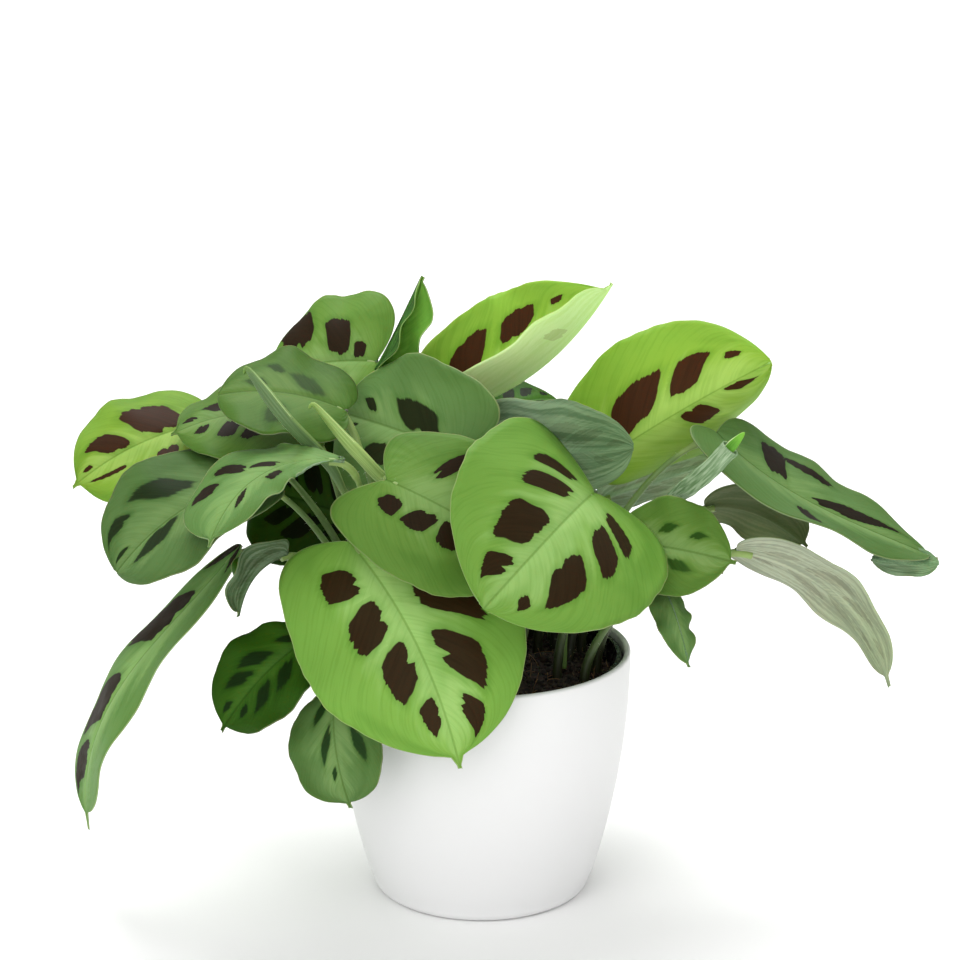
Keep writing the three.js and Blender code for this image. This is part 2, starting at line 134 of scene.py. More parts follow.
# %% Finish
class Finish(Graph):
    """A material around one Principled shader."""

    def __init__(self, name, **constants):
        self.material = bpy.data.materials.new(name)
        self.material.use_nodes = True
        super().__init__(self.material.node_tree)
        self.shader = self.tree.nodes["Principled BSDF"]
        for key, value in constants.items():
            self.set(key.replace("_", " "), value)

    def set(self, socket_name, value):
        self.plug(self.shader.inputs[socket_name], value)

    def attribute(self, name):
        """A named number of the mesh."""
        return self.node("ShaderNodeAttribute", {"attribute_name": name}, output=2)

    def parts(self, name):
        """The three numbers of a named vector of the mesh."""
        vector = self.node("ShaderNodeAttribute", {"attribute_name": name}, output=1)
        return [self.node("ShaderNodeSeparateXYZ", inputs={0: vector}, output=k) for k in range(3)]

    def grain(self, scale, detail=2.0):
        """Noise that is fixed to the piece, with scale cells to the metre."""
        return self.noise(self.node("ShaderNodeTexCoord", output=3), scale, detail)

    def pattern(self, x, y, z, detail=2.0):
        """Noise over numbers that are already sized for it."""
        return self.noise(self.vector(x, y, z), 1.0, detail)

    def chance(self, *where):
        """A random number from 0 to 1 for each cell of a pattern."""
        return self.node("ShaderNodeTexWhiteNoise", inputs={"Vector": self.vector(*where)})

    def mix(self, share, first, second, blend="MIX"):
        """The first colour where share is 0, the second where it is 1."""
        return self.node("ShaderNodeMix", {"data_type": "RGBA", "blend_type": blend},
                         {0: share, 6: first, 7: second}, 2)

    def tint(self, share, first, second):
        """The first colour times the second one, as far as share says."""
        return self.mix(share, first, second, "MULTIPLY")

    def bump(self, height, depth_mm, strength=1.0):
        self.set("Normal", self.node("ShaderNodeBump", inputs={
            "Height": height, "Distance": depth_mm * MM, "Strength": strength}))


# %% [markdown]
# ## Pieces
#
# Every piece is a mesh with its place in its vertices, so the object itself stays at the origin. It
# rides on the one CAD body and hides the CAD solids that it stands for.

# %% Mesh helpers
def placed(name, data):
    """An object in the scene for a mesh, a curve, a lamp or a camera."""
    made = bpy.data.objects.new(name, data)
    bpy.context.scene.collection.objects.link(made)
    return made


def new_mesh(name, points_mm, faces, material, **attributes):
    """A mesh object from points in mm, with one named number per vertex for each attribute."""
    mesh = bpy.data.meshes.new(name)
    mesh.from_pydata((np.asarray(points_mm) * MM).tolist(), [], faces)
    for key, values in attributes.items():
        layer = mesh.attributes.new(key, "FLOAT", "POINT")
        layer.data.foreach_set("value", np.asarray(values, np.float32).ravel())
    mesh.materials.append(material)
    mesh.shade_smooth()
    mesh.update()
    return placed(name, mesh)


def own(piece, slot, *cad_nodes):
    """Ties a finished piece to the CAD model."""
    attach(piece, "root")
    if cad_nodes:
        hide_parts(*cad_nodes)
    return piece


def grid_faces(rows, columns, start=0, flip=False, closed=False, looped=False):
    """Four-sided faces between the points of a grid that is stored row after row.

    A closed grid joins the ends of each row, and a looped one its last row to its first.
    """
    faces = []
    for i in range(rows if looped else rows - 1):
        here, there = start + i * columns, start + (i + 1) % rows * columns
        for j in range(columns if closed else columns - 1):
            k = (j + 1) % columns
            face = (here + j, here + k, there + k, there + j)
            faces.append(face[::-1] if flip else face)
    return faces


# %% [markdown]
# ## Floor, light and camera
#
# The plant stands on plain white paper between two broad soft lamps. Area lamps could stand in for
# them, but suns with a wide angle are as soft and light every leaf alike. The one in front is low
# and fills the faces of the pot and the leaves. The one behind is stronger and higher, so the faint
# shadow gathers in front of the foot. The room adds just enough light to see between the leaves.
# The camera was worked out from the pot: its rim and foot are circles of a known size, and how much
# their ellipses flatten gives the height and the distance of the lens.

# %% Stage
scene = bpy.context.scene
scene.view_settings.view_transform = "Standard"
scene.view_settings.look = "None"

FLOOR_HALF = 30000
corners = [(x * FLOOR_HALF, y * FLOOR_HALF, 0) for x, y in ((-1, -1), (1, -1), (1, 1), (-1, 1))]
paper = Finish("white_paper", Base_Color=(0.97, 0.97, 0.965, 1), Roughness=1.0,
               Specular_IOR_Level=0.0)
floor = new_mesh("floor", corners, [(0, 1, 2, 3)], paper.material)

ROOM_LIGHT = 0.58
world = bpy.data.worlds.new("white_room")
scene.world = world
world.use_nodes = True
room = world.node_tree.nodes["Background"].inputs
room["Color"].default_value = (1, 1, 1, 1)
room["Strength"].default_value = ROOM_LIGHT


def sky_lamp(name, from_mm, strength, softness):
    """A lamp that is far away and softness degrees wide, and shines from a place to the origin."""
    lamp = bpy.data.lights.new(name, "SUN")
    lamp.energy = strength
    lamp.angle = math.radians(softness)
    made = placed(name, lamp)
    made.rotation_mode = "QUATERNION"
    made.rotation_quaternion = Vector(from_mm).to_track_quat("Z", "Y")


sky_lamp("front_lamp", (-300, -1200, 900), 1.3, 60)
sky_lamp("back_lamp", (0, 700, 1200), 2.6, 45)

CAMERA_PLACE, CAMERA_DOWN = (-0.7, -1181, 523), 15.64
LENS, SENSOR = 103.1, 36
camera = placed("camera", bpy.data.cameras.new("camera"))
camera.data.lens, camera.data.sensor_width, camera.data.clip_end = LENS, SENSOR, 20
camera.location = [c * MM for c in CAMERA_PLACE]
camera.rotation_euler = (math.radians(90 - CAMERA_DOWN), 0, 0)
scene.camera = camera
print("camera stands", round(camera.location.length / MM), "mm from the foot of the pot")

# %% [markdown]
# ## The two pots
#
# Both pots are turned shapes: one outline goes up the outside, over the rim and down the inside.
# A Screw modifier could turn it, but rings that are worked out here close cleanly on the axis. The
# cover pot's side draws in with the square of the depth, which gives its soft barrel shape. Both
# use far more sides than the CAD solids, so that the rims look round.

# %% Turned shapes
POT_SIDES = 160


def turned(name, outline, material, sides=POT_SIDES, lift=None):
    """A solid of revolution from (radius, height) points that start and end on the axis."""
    angles = np.linspace(0, 2 * math.pi, sides, endpoint=False)
    rings = np.array(outline[1:-1], float)
    radius, height = rings[:, 0][:, None], rings[:, 1][:, None] + 0 * angles[None]
    grid = np.stack([radius * np.cos(angles), radius * np.sin(angles), height], -1)
    if lift is not None:
        grid[..., 2] += lift(grid[..., 0], grid[..., 1], grid[..., 2])
    count = len(rings)
    points = np.vstack([grid.reshape(-1, 3), [(0, 0, outline[0][1]), (0, 0, outline[-1][1])]])
    faces = grid_faces(count, sides, closed=True)
    first, last = count * sides, count * sides + 1
    top = (count - 1) * sides
    faces += [(first, (j + 1) % sides, j) for j in range(sides)]
    faces += [(last, top + j, top + (j + 1) % sides) for j in range(sides)]
    return new_mesh(name, points, faces, material)


def arc(centre, radius, start, end, steps):
    """Points on part of a circle, as (radius, height) pairs."""
    turns = np.radians(np.linspace(start, end, steps))
    return [(centre[0] + radius * math.cos(a), centre[1] + radius * math.sin(a)) for a in turns]


# %% Cover pot
COVER_HEIGHT, COVER_RIM, COVER_WALL, COVER_FLOOR = 114, 67.6, 2.8, 3
COVER_BULGE = 0.001419
COVER_FOOT, FOOT_ROUND, FOOT_ROUND_HEIGHT = 45, 5.2, 5.4


def cover_radius(z):
    return COVER_RIM - COVER_BULGE * (COVER_HEIGHT - z) ** 2


white = Finish("satin_white", Base_Color="e6e6e6", Roughness=0.4, Specular_IOR_Level=0.3)
white.bump(white.grain(900), 0.02, 0.4)

rim_round = COVER_WALL / 2
cover_outline = [(0, 0), (COVER_FOOT - 1, 0), (COVER_FOOT, 0.1)]
cover_outline += [(COVER_FOOT + FOOT_ROUND * math.sin(a), FOOT_ROUND_HEIGHT * (1 - math.cos(a)))
                  for a in np.linspace(0.2, math.pi / 2, 8)]
cover_outline += [(cover_radius(z), z) for z in np.linspace(9, COVER_HEIGHT - rim_round, 30)]
cover_outline += arc((COVER_RIM - rim_round, COVER_HEIGHT - rim_round), rim_round, 15, 165, 11)
cover_outline += [(cover_radius(z) - COVER_WALL, z)
                  for z in np.linspace(COVER_HEIGHT - rim_round, 12, 24)]
cover_outline += [(cover_radius(8) - COVER_WALL - 0.8, 6), (COVER_FOOT - 1, COVER_FLOOR),
                  (0, COVER_FLOOR)]
cover_pot = own(turned("cover_pot_shell", cover_outline, white.material), "cover_pot", "cover_pot")
print("cover pot:", len(cover_pot.data.polygons), "faces")

# %% [markdown]
# The nursery pot is thin black plastic with a glossy rolled rim. It is scuffed inside, where
# compost and water have dried on it, so its roughness and colour are broken up by noise.

# %% Nursery pot
NURSERY_FOOT, NURSERY_TOP, NURSERY_RIM = 3.3, 111.6, 63.8
NURSERY_LIP, NURSERY_LIP_DEPTH, NURSERY_WALL, NURSERY_FLOOR = 1.2, 9, 1.4, 1.6
NURSERY_FOOT_RADIUS = 44
LIP_ROUND, RIM_ROUND, INSIDE_ROUND = 0.6, 1.1, 0.7


def nursery_radius(z):
    share = (z - NURSERY_FOOT) / (NURSERY_TOP - NURSERY_FOOT)
    return NURSERY_FOOT_RADIUS + share * (NURSERY_RIM - NURSERY_LIP - NURSERY_FOOT_RADIUS)


black = Finish("glossy_black", Roughness=0.3)
scuffs = black.smooth(black.grain(240, 4), 0.5, 0.72)
black.set("Base Color", black.mix(scuffs, "101010", "3a3632"))
black.set("Roughness", 0.24 + 0.4 * scuffs)
black.bump(black.grain(500), 0.05, 0.5)

under_lip = NURSERY_TOP - NURSERY_LIP_DEPTH
inside_rim = NURSERY_RIM - NURSERY_LIP - NURSERY_WALL
nursery_outline = [(0, NURSERY_FOOT), (NURSERY_FOOT_RADIUS - 2, NURSERY_FOOT)]
nursery_outline += [(nursery_radius(z), z) for z in np.linspace(NURSERY_FOOT + 2, under_lip, 12)]
nursery_outline += arc((NURSERY_RIM - LIP_ROUND, under_lip + LIP_ROUND), LIP_ROUND, -70, 0, 5)
nursery_outline += arc((NURSERY_RIM - RIM_ROUND, NURSERY_TOP - RIM_ROUND), RIM_ROUND, 0, 90, 7)
nursery_outline += arc((inside_rim + INSIDE_ROUND, NURSERY_TOP - INSIDE_ROUND), INSIDE_ROUND,
                       90, 180, 6)
nursery_outline += [(nursery_radius(z) - NURSERY_WALL, z)
                    for z in np.linspace(NURSERY_TOP - 3, NURSERY_FOOT + NURSERY_FLOOR, 12)]
nursery_outline += [(0, NURSERY_FOOT + NURSERY_FLOOR)]
nursery_pot = own(turned("nursery_pot_shell", nursery_outline, black.material),
                  "nursery_pot", "nursery_pot")
print("nursery pot:", len(nursery_pot.data.polygons), "faces")

# %% [markdown]
# ## Geometry Nodes
#
# Stalks, hairs, crumbs of soil and straw all repeat one small rule many times, which is what
# Geometry Nodes are for. `Growth` starts such a tree: its sizes become named inputs. `grow` runs
# the tree on a base object and keeps the result as a plain mesh, as the export knows no live
# modifiers.

# %% Growth
class Growth(Graph):
    """A Geometry Nodes tree with named inputs."""

    def __init__(self, name, material, **sizes):
        super().__init__(bpy.data.node_groups.new(name, "GeometryNodeTree"))
        self.material = material
        face = self.tree.interface
        face.new_socket("Geometry", in_out="OUTPUT", socket_type="NodeSocketGeometry")
        face.new_socket("Geometry", in_out="INPUT", socket_type="NodeSocketGeometry")
        for key, value in sizes.items():
            kind = "NodeSocketInt" if isinstance(value, int) else "NodeSocketFloat"
            made = face.new_socket(key.replace("_", " "), in_out="INPUT", socket_type=kind)
            made.default_value = value
        self.entry = self.tree.nodes.new("NodeGroupInput")

    def given(self, name):
        return Value(self, self.entry.outputs[name])

    def scattered(self, **inputs):
        """Points on the faces of the base, as many and as random as its inputs say."""
        return self.node("GeometryNodeDistributePointsOnFaces", inputs={
            "Mesh": self.given("Geometry"), "Density": self.given("Density"),
            "Seed": self.given("Seed"), **inputs})

    def turned_by_chance(self, least, most, seed):
        """A turn about each axis between two limits."""
        turn = self.node("FunctionNodeRandomValue", {"data_type": "FLOAT_VECTOR"}, {
            "Min": least, "Max": most, "Seed": seed})
        return self.node("FunctionNodeEulerToRotation", inputs={0: turn})

    def swept(self, line, sides, radius, scale=1.0):
        """A line with a round profile along it and closed ends."""
        ring = self.node("GeometryNodeCurvePrimitiveCircle", inputs={
            "Resolution": sides, "Radius": radius})
        return self.node("GeometryNodeCurveToMesh", inputs={
            "Curve": line, "Profile Curve": ring, "Scale": scale, "Fill Caps": True})

    def finish(self, geometry):
        """Ends the tree: real geometry instead of instances, with its material."""
        real = self.node("GeometryNodeRealizeInstances", inputs={0: geometry})
        painted = self.node("GeometryNodeSetMaterial", inputs={0: real, "Material": self.material})
        leave = self.tree.nodes.new("NodeGroupOutput")
        self.plug(leave.inputs[0], painted)


def grow(name, base, growth, **sizes):
    """Runs a Growth tree on a base object and returns the result as a plain mesh object."""
    modifier = base.modifiers.new(growth.tree.name, "NODES")
    modifier.node_group = growth.tree
    for item in growth.tree.interface.items_tree:
        key = item.name.replace(" ", "_")
        if item.in_out == "INPUT" and key in sizes:
            modifier[item.identifier] = sizes[key]
    bpy.context.view_layer.update()
    mesh = bpy.data.meshes.new_from_object(
        base.evaluated_get(bpy.context.evaluated_depsgraph_get()))
    mesh.name = name
    mesh.shade_smooth()
    base.modifiers.remove(modifier)
    print(name + ":", len(mesh.polygons), "faces")
    return placed(name, mesh)


# %% [markdown]
# ## Soil
#
# Peat compost fills the pot to a low crown. A bump alone would make it look rough, but loose crumbs
# also drop shadows on each other. So the bed is a turned solid with an uneven top, and over it lie
# thousands of crumbs in two sizes and some bent straw, scattered on the faces that look up.

# %% Soil bed
SOIL_EDGE, SOIL_CROWN, SOIL_RADIUS = 102, 3, 60
SOIL_GAP, SOIL_SIDES = 0.3, 120


def soil_top(x, y):
    return SOIL_EDGE + SOIL_CROWN * (1 - (x * x + y * y) / SOIL_RADIUS ** 2)


def uneven(x, y, z):
    """Hollows and heaps on the top of the bed, in mm."""
    waves = (np.sin(x / 5.1 + 1.3 * np.sin(y / 7.3)) + np.sin(y / 4.3 + 1.7 * np.sin(x / 6.1))
             + 0.6 * np.sin(x / 1.9 + y / 2.3) + 0.5 * np.sin(y / 1.4 - x / 2.9))
    return np.where(z > SOIL_EDGE - 2, 0.75 * waves, 0)


peat = Finish("dark_peat", Roughness=0.9)
peat_grain = peat.grain(420, 5)
peat.set("Base Color", peat.mix(peat.smooth(peat_grain, 0.35, 0.7), "120c09", "3a281e"))
peat.bump(peat_grain, 0.8)

soil_bottom = NURSERY_FOOT + NURSERY_FLOOR + SOIL_GAP
soil_outline = [(0, soil_bottom), (40, soil_bottom)]
soil_outline += [(nursery_radius(z) - NURSERY_WALL - SOIL_GAP, z)
                 for z in np.linspace(soil_bottom + 3, SOIL_EDGE - 2.5, 8)]
soil_outline += [(r, soil_top(r, 0)) for r in np.linspace(58.6, 0.8, 60)]
soil_outline += [(0, soil_top(0, 0))]
soil_bed = own(turned("soil_bed", soil_outline, peat.material, SOIL_SIDES, uneven), "soil", "soil")
print("soil bed:", len(soil_bed.data.polygons), "faces")


# %% Crumbs and straw
FULL_TURN = 6.28


def scatter_tree(name, material, shape):
    """A tree that scatters a shape on the faces that look up, each turned and sized by chance."""
    tree = Growth(name, material, Density=1.0, Smallest=0.5, Largest=1.0, Seed=1)
    normal = tree.node("GeometryNodeInputNormal")
    height = tree.node("ShaderNodeSeparateXYZ", inputs={0: normal}, output=2)
    points = tree.scattered(Selection=height.above(0.5))
    turn = tree.turned_by_chance((0, 0, 0), (FULL_TURN,) * 3, tree.given("Seed") + 1)
    size = tree.node("FunctionNodeRandomValue", {"data_type": "FLOAT"}, {
        2: tree.given("Smallest"), 3: tree.given("Largest"), "Seed": tree.given("Seed") + 2}, 1)
    tree.finish(tree.node("GeometryNodeInstanceOnPoints", inputs={
        "Points": points, "Instance": shape(tree), "Rotation": turn,
        "Scale": tree.vector(size, size, size)}))
    return tree


def crumb(tree):
    """A lump of peat, 1 mm across before it is sized."""
    lump = tree.node("GeometryNodeMeshIcoSphere", inputs={"Radius": 0.5 * MM, "Subdivisions": 2})
    place = tree.node("GeometryNodeInputPosition")
    dents = tree.node("ShaderNodeTexNoise", inputs={"Vector": place, "Scale": 1800.0}, output=1)
    push = tree.node("ShaderNodeVectorMath", {"operation": "MULTIPLY_ADD"}, {
        0: dents, 1: (0.9 * MM, 0.9 * MM, 0.6 * MM), 2: (-0.45 * MM, -0.45 * MM, -0.3 * MM)})
    return tree.node("GeometryNodeSetPosition", inputs={"Geometry": lump, "Offset": push})


def straw(tree):
    """A bent flat fibre, 10 mm long before it is sized."""
    line = tree.node("GeometryNodeCurveQuadraticBezier", inputs={
        "Resolution": 6, "Start": (-5 * MM, 0, 0), "Middle": (0, 2.4 * MM, 1.6 * MM),
        "End": (5 * MM, 0, 0.4 * MM)})
    return tree.swept(line, 3, 0.16 * MM)


crumbs = scatter_tree("scatter_crumbs", peat.material, crumb)
dry_straw = Finish("dry_straw", Roughness=0.8)
dry_straw.set("Base Color", dry_straw.mix(dry_straw.grain(60), "4a2a1c", "a98458"))
fibres = scatter_tree("scatter_straw", dry_straw.material, straw)
for name, tree, density, smallest, largest, seed in (
        ("soil_crumbs", crumbs, 150000.0, 0.9, 2.6, 3),
        ("soil_lumps", crumbs, 14000.0, 2.6, 5.0, 8),
        ("soil_straw", fibres, 22000.0, 0.5, 1.3, 5)):
    own(grow(name, soil_bed, tree, Density=density, Smallest=smallest, Largest=largest, Seed=seed),
        "soil")

# %% [markdown]
# ## The shape of a leaf
#
# A blade is a sheet along a midrib. It could be bent by hand from a plane, but every leaf bends in
# its own way, and a rule makes each one from a row of numbers. A place on it has two numbers:
# `along`, from 0 at the stalk to 1 at the tip, and `across`, from -1 at one edge to 1 at the other.
# The midrib arches between its ends. Each half of the sheet leaves it at a fold angle and bends by
# a curl angle on its way out, which gives flat, cupped, drooping and half-rolled leaves. The same
# rule shapes the CAD solids. A few leaves are blunt: their drip tip is curled under, out of sight,
# so the sheet stops before it.

# %% Curves and the outline of a blade
DRIP_TIP, DRIP_WIDTH = 0.045, 0.1
LOBE_REACH = 0.4
BLUNT_REACH = 1 - 0.96 * DRIP_TIP


def unit(vectors):
    return vectors / np.linalg.norm(vectors, axis=-1, keepdims=True)


def arched(control, t):
    """Places on a line that runs between the outer two of four points, drawn to the inner two."""
    s = 1 - t
    return (s ** 3 * control[0] + 3 * s * s * t * control[1] + 3 * s * t * t * control[2]
            + t ** 3 * control[3])


def arched_slope(control, t):
    s = 1 - t
    return 3 * (s * s * (control[1] - control[0]) + 2 * s * t * (control[2] - control[1])
                + t * t * (control[3] - control[2]))


def half_width(t, widest):
    """Share of the half width: round at the stalk, blunt ahead, and a short drip tip."""
    near = (1 - np.clip(1 - t / widest, 0, 1) ** 2.6) ** 0.52
    fall = np.clip((t - widest) / (1 - DRIP_TIP - widest), 0, 1)
    spike = DRIP_WIDTH * np.clip((1 - t) / (2 * DRIP_TIP), 0, 1) ** 0.8
    return np.where(t < widest, near, np.maximum((1 - fall ** 2.2) ** 0.62, spike))


def midrib(leaf):
    """Control points of the midrib, and the direction that the blade spreads in."""
    base, tip, face = (np.array(leaf[key], float) for key in ("base", "tip", "face"))
    chord = tip - base
    forward = unit(chord)
    face = unit(face - forward * (face @ forward))
    side = np.cross(forward, face)
    inner = [base + chord * (k + 1) / 3 + face * leaf["arch"][k] + side * leaf["sway"][k]
             for k in (0, 1)]
    return np.array([base, *inner, tip]), side


# %% [markdown]
# Side veins leave the midrib at an angle and sweep forward. `vein` numbers them: it is constant
# along each vein. The quilting between them, the groove over the midrib and a little buckling are
# added along the blade's own normals, a fraction of a millimetre at a time.

# %% Blade surface
VEIN_SWEEP, VEIN_CURVE, VEIN_PITCH = 0.34, 0.16, 0.05
QUILT, GROOVE, GROOVE_WIDTH = 0.22, 0.55, 1.5
BUCKLE, FINE_BUCKLE = 0.8, 0.3


def vein_number(along, out):
    """Constant on a vein: how far along the midrib the vein through a place leaves it."""
    return along - VEIN_SWEEP * out - VEIN_CURVE * out * out


def blade_sheet(leaf, seed, t, q):
    """Points of the blade's middle surface in mm, and their normals."""
    control, side = midrib(leaf)
    spine = arched(control, t[:, None])
    along = unit(arched_slope(control, t[:, None]))
    across = unit(side - along * (along @ side)[:, None])
    up = np.cross(across, along)

    ragged = 1 + 0.008 * np.sin(23 * t + 5 * seed) + 0.004 * np.sin(67 * t + 9 * seed)
    half = np.maximum(1.0, leaf["width"] / 2 * half_width(t, leaf["widest"]) * ragged)[:, None]
    share, left = np.abs(q), q < 0
    sign = np.where(left, -1.0, 1.0)
    fold, curl = (np.radians(np.where(left, *leaf[key])) for key in ("fold", "curl"))
    curl = np.where(curl == 0, 1e-4, curl)
    bent = fold + curl * share
    out = half * sign * (np.sin(bent) - np.sin(fold)) / curl
    lift = half * (np.cos(fold) - np.cos(bent)) / curl
    heart = np.where(left, *leaf["lobe"]) * half * share ** 2
    heart = heart * np.clip(1 - t / LOBE_REACH, 0, 1)[:, None] ** 2
    turns = leaf["waves"] * t[:, None] + np.where(left, 0.37, 0)
    ripple = leaf["wave"] * share ** 2 * np.sqrt(np.sin(math.pi * t))[:, None]
    ripple = ripple * np.sin(2 * math.pi * turns)

    tilt = up[:, None] * np.cos(bent)[:, None] - across[:, None] * (sign * np.sin(bent))[:, None]
    sheet = (spine[:, None] + across[:, None] * out[..., None] + up[:, None] * lift[..., None]
             + tilt * ripple[..., None] - along[:, None] * heart[..., None])

    vein = vein_number(t[:, None], share)
    quilt = QUILT * np.sin(2 * math.pi * vein / VEIN_PITCH) * (4 * share * (1 - share)) ** 0.8
    groove = GROOVE * np.exp(-((half * q) / GROOVE_WIDTH) ** 2)
    buckle = share * (BUCKLE * np.sin(10 * t[:, None] + 3 * q + 7 * seed)
                      + FINE_BUCKLE * np.sin(19 * t[:, None] - 5 * q + 3 * seed))
    relief = np.minimum(1, half / 12) * (quilt + buckle) - groove
    normal = unit(np.cross(np.gradient(sheet, axis=1), np.gradient(sheet, axis=0)))
    sheet = sheet + normal * relief[..., None]
    normal = unit(np.cross(np.gradient(sheet, axis=1), np.gradient(sheet, axis=0)))
    return sheet, normal, half


# %% [markdown]
# ## The blotches
#
# A blotch fills part of the space between two side veins. Blotches could be painted on a picture,
# but numbers on the mesh stay sharp from near and follow the veins by themselves. One row places a
# blotch: which half of the leaf it is on (-1 or 1), the vein number and the distance out of its
# inner end, the same two of its outer end, and how many vein numbers it is wide. A leaf whose
# blotches don't show has the usual row of four on each half, smaller towards the tip.
#
# Every corner of every face then learns where it is in the nearest blotch: x runs from -1 to 1
# across it, and y from 0 to 1 outwards. The material draws the ragged outline from these.

# %% Layout of the blotches
USUAL_SIZES = (0.75, 1.0, 0.9, 0.5)
FAR_AWAY = 99.0


def usual_blotches(seed):
    """Rows for a leaf whose blotches can't be seen."""
    chance = np.random.default_rng(round(1000 * seed))
    rows = []
    for half in (-1, 1):
        for k, usual in enumerate(USUAL_SIZES):
            size = usual * chance.uniform(0.85, 1.1)
            vein = 0.07 + 0.03 * half + 0.22 * k + chance.uniform(-0.02, 0.02)
            rows.append((half, vein, 0.13, vein - 0.04, 0.16 + 0.42 * size, 0.17 * size))
    return rows


def places_in_blotches(faces, vein, across, rows):
    """For each corner of each face: x, y and the number of the nearest blotch on its half."""
    corners = np.array(faces)
    if not rows:
        return np.full((*corners.shape, 3), FAR_AWAY)
    vein, across = vein[corners], across[corners]
    half, inner_vein, inner, outer_vein, outer, width = np.array(rows, float).T
    side = np.sign(across.sum(1))[:, None, None]
    y = (abs(across)[..., None] - inner) / (outer - inner)
    x = (vein[..., None] - inner_vein - (outer_vein - inner_vein) * y) / (width / 2)
    x = np.where(side == half, x, FAR_AWAY)
    away = np.maximum(abs(x) / 2, abs(y - 0.5))
    near = away.mean(1).argmin(1)[:, None, None]
    return np.concatenate([np.take_along_axis(x, near, 2), np.take_along_axis(y, near, 2),
                           near + 0 * vein[..., None]], -1)


# %% [markdown]
# The sheet becomes a closed slab half a millimetre thick, with a keel under the midrib. The points
# crowd near the midrib and near both ends, where the shape turns fastest. Every vertex keeps where
# it is on the leaf, for the pattern, and whether it is on the upper side.

# %% Blade mesh
BLADE_ROWS, BLADE_COLUMNS = 76, 41
BLADE_THICK, KEEL, KEEL_WIDTH = 0.5, 0.9, 1.2


def blade_mesh(leaf):
    seed, reach = leaf["seed"], BLUNT_REACH if leaf["blunt"] else 1
    t = reach * (1 - np.cos(math.pi * np.linspace(0, 1, BLADE_ROWS))) / 2
    s = np.linspace(-1, 1, BLADE_COLUMNS)
    q = np.sign(s) * np.abs(s) ** 1.4
    sheet, normal, half = blade_sheet(leaf, seed, t, q)
    keel = KEEL * np.exp(-((half * q) / KEEL_WIDTH) ** 2) * (1 - t)[:, None] ** 0.7
    upper = sheet + normal * BLADE_THICK / 2
    lower = sheet - normal * (BLADE_THICK / 2 + keel)[..., None]
    points = np.vstack([upper.reshape(-1, 3), lower.reshape(-1, 3)])

    rows, columns = BLADE_ROWS, BLADE_COLUMNS
    under = rows * columns
    faces = grid_faces(rows, columns) + grid_faces(rows, columns, under, flip=True)
    # Once round the edge of the blade, for the strip that joins its two sides.
    edge = [i * columns for i in range(rows)]
    edge += [(rows - 1) * columns + j for j in range(1, columns)]
    edge += [i * columns + columns - 1 for i in range(rows - 2, -1, -1)]
    edge += list(range(columns - 2, 0, -1))
    for a, b in zip(edge, edge[1:] + edge[:1]):
        faces.append((a, b, b + under, a + under))
    t_all, q_all = (np.tile(grid.ravel(), 2) for grid in np.broadcast_arrays(t[:, None], q[None]))
    blade = new_mesh(
        leaf["name"] + "_blade", points, faces, GREENS[leaf["skin"] or leaf["green"]],
        along=t_all, across=q_all, half=np.tile(np.broadcast_to(half, (rows, columns)).ravel(), 2),
        upper=np.repeat([1.0, 0.0], under),
        **{key: np.full(2 * under, leaf[key]) for key in ("seed", "depth", "brown")})
    blotches = leaf["blotches"] if leaf["blotches"] is not None else usual_blotches(seed)
    places = places_in_blotches(faces, vein_number(t_all, abs(q_all)), q_all, blotches)
    layer = blade.data.attributes.new("blotch", "FLOAT_VECTOR", "CORNER")
    layer.data.foreach_set("vector", places.astype(np.float32).ravel())
    return blade


# %% [markdown]
# ## The leaf surface
#
# A prayer plant's leaf is satin and never glossy. A pale band runs along the midrib and reaches out
# in fingers between the blotches, and towards the margin the green is deeper. A blotch has straight
# sides along its veins, one or two teeth at its inner end, and a flat, finely frayed outer end. The
# underside is dull, and striped along the veins.

# %% Blotch masks
def blotch_masks(paint, seed, brown):
    """Two masks: the blotches, softer where they are green, and the deeper green around them."""
    x, y, which = paint.parts("blotch")
    which = (which + 0.5).floor()
    leaf_number = (seed * 1000 + 0.5).floor()
    luck = paint.chance(which, leaf_number, 1.0)
    other_luck = paint.chance(which, leaf_number, 2.0)
    wobble = paint.pattern(x * 0.9, y * 1.6, which * 3 + seed * 40) - 0.5
    width = 0.78 + 0.24 * paint.smooth(y, -0.1, 0.4) - 0.14 * paint.smooth(y, 0.75, 1.05)
    beside = (width + 0.4 * wobble - abs(x)) * 0.5
    notch = (1 - abs(x - 0.8 * (luck - 0.5)) / 0.3).most(0) * (0.03 + 0.16 * other_luck)
    teeth = paint.pattern(x * 2.4, y * 0.5, which * 5 + seed * 29, 3.0) - 0.5
    fray = paint.pattern(x * 6, y * 0.5, which * 9 + seed * 17, 3.0) - 0.5
    inner_end = y - notch - 0.3 * teeth - 0.16 * x * x
    outer_end = 1 + 0.24 * fray - 0.12 * x * x - y
    inside = beside.least(inner_end).least(outer_end)
    return paint.smooth(inside, 0.0, 0.18 - 0.145 * brown), paint.smooth(inside, -0.22, 0.02)


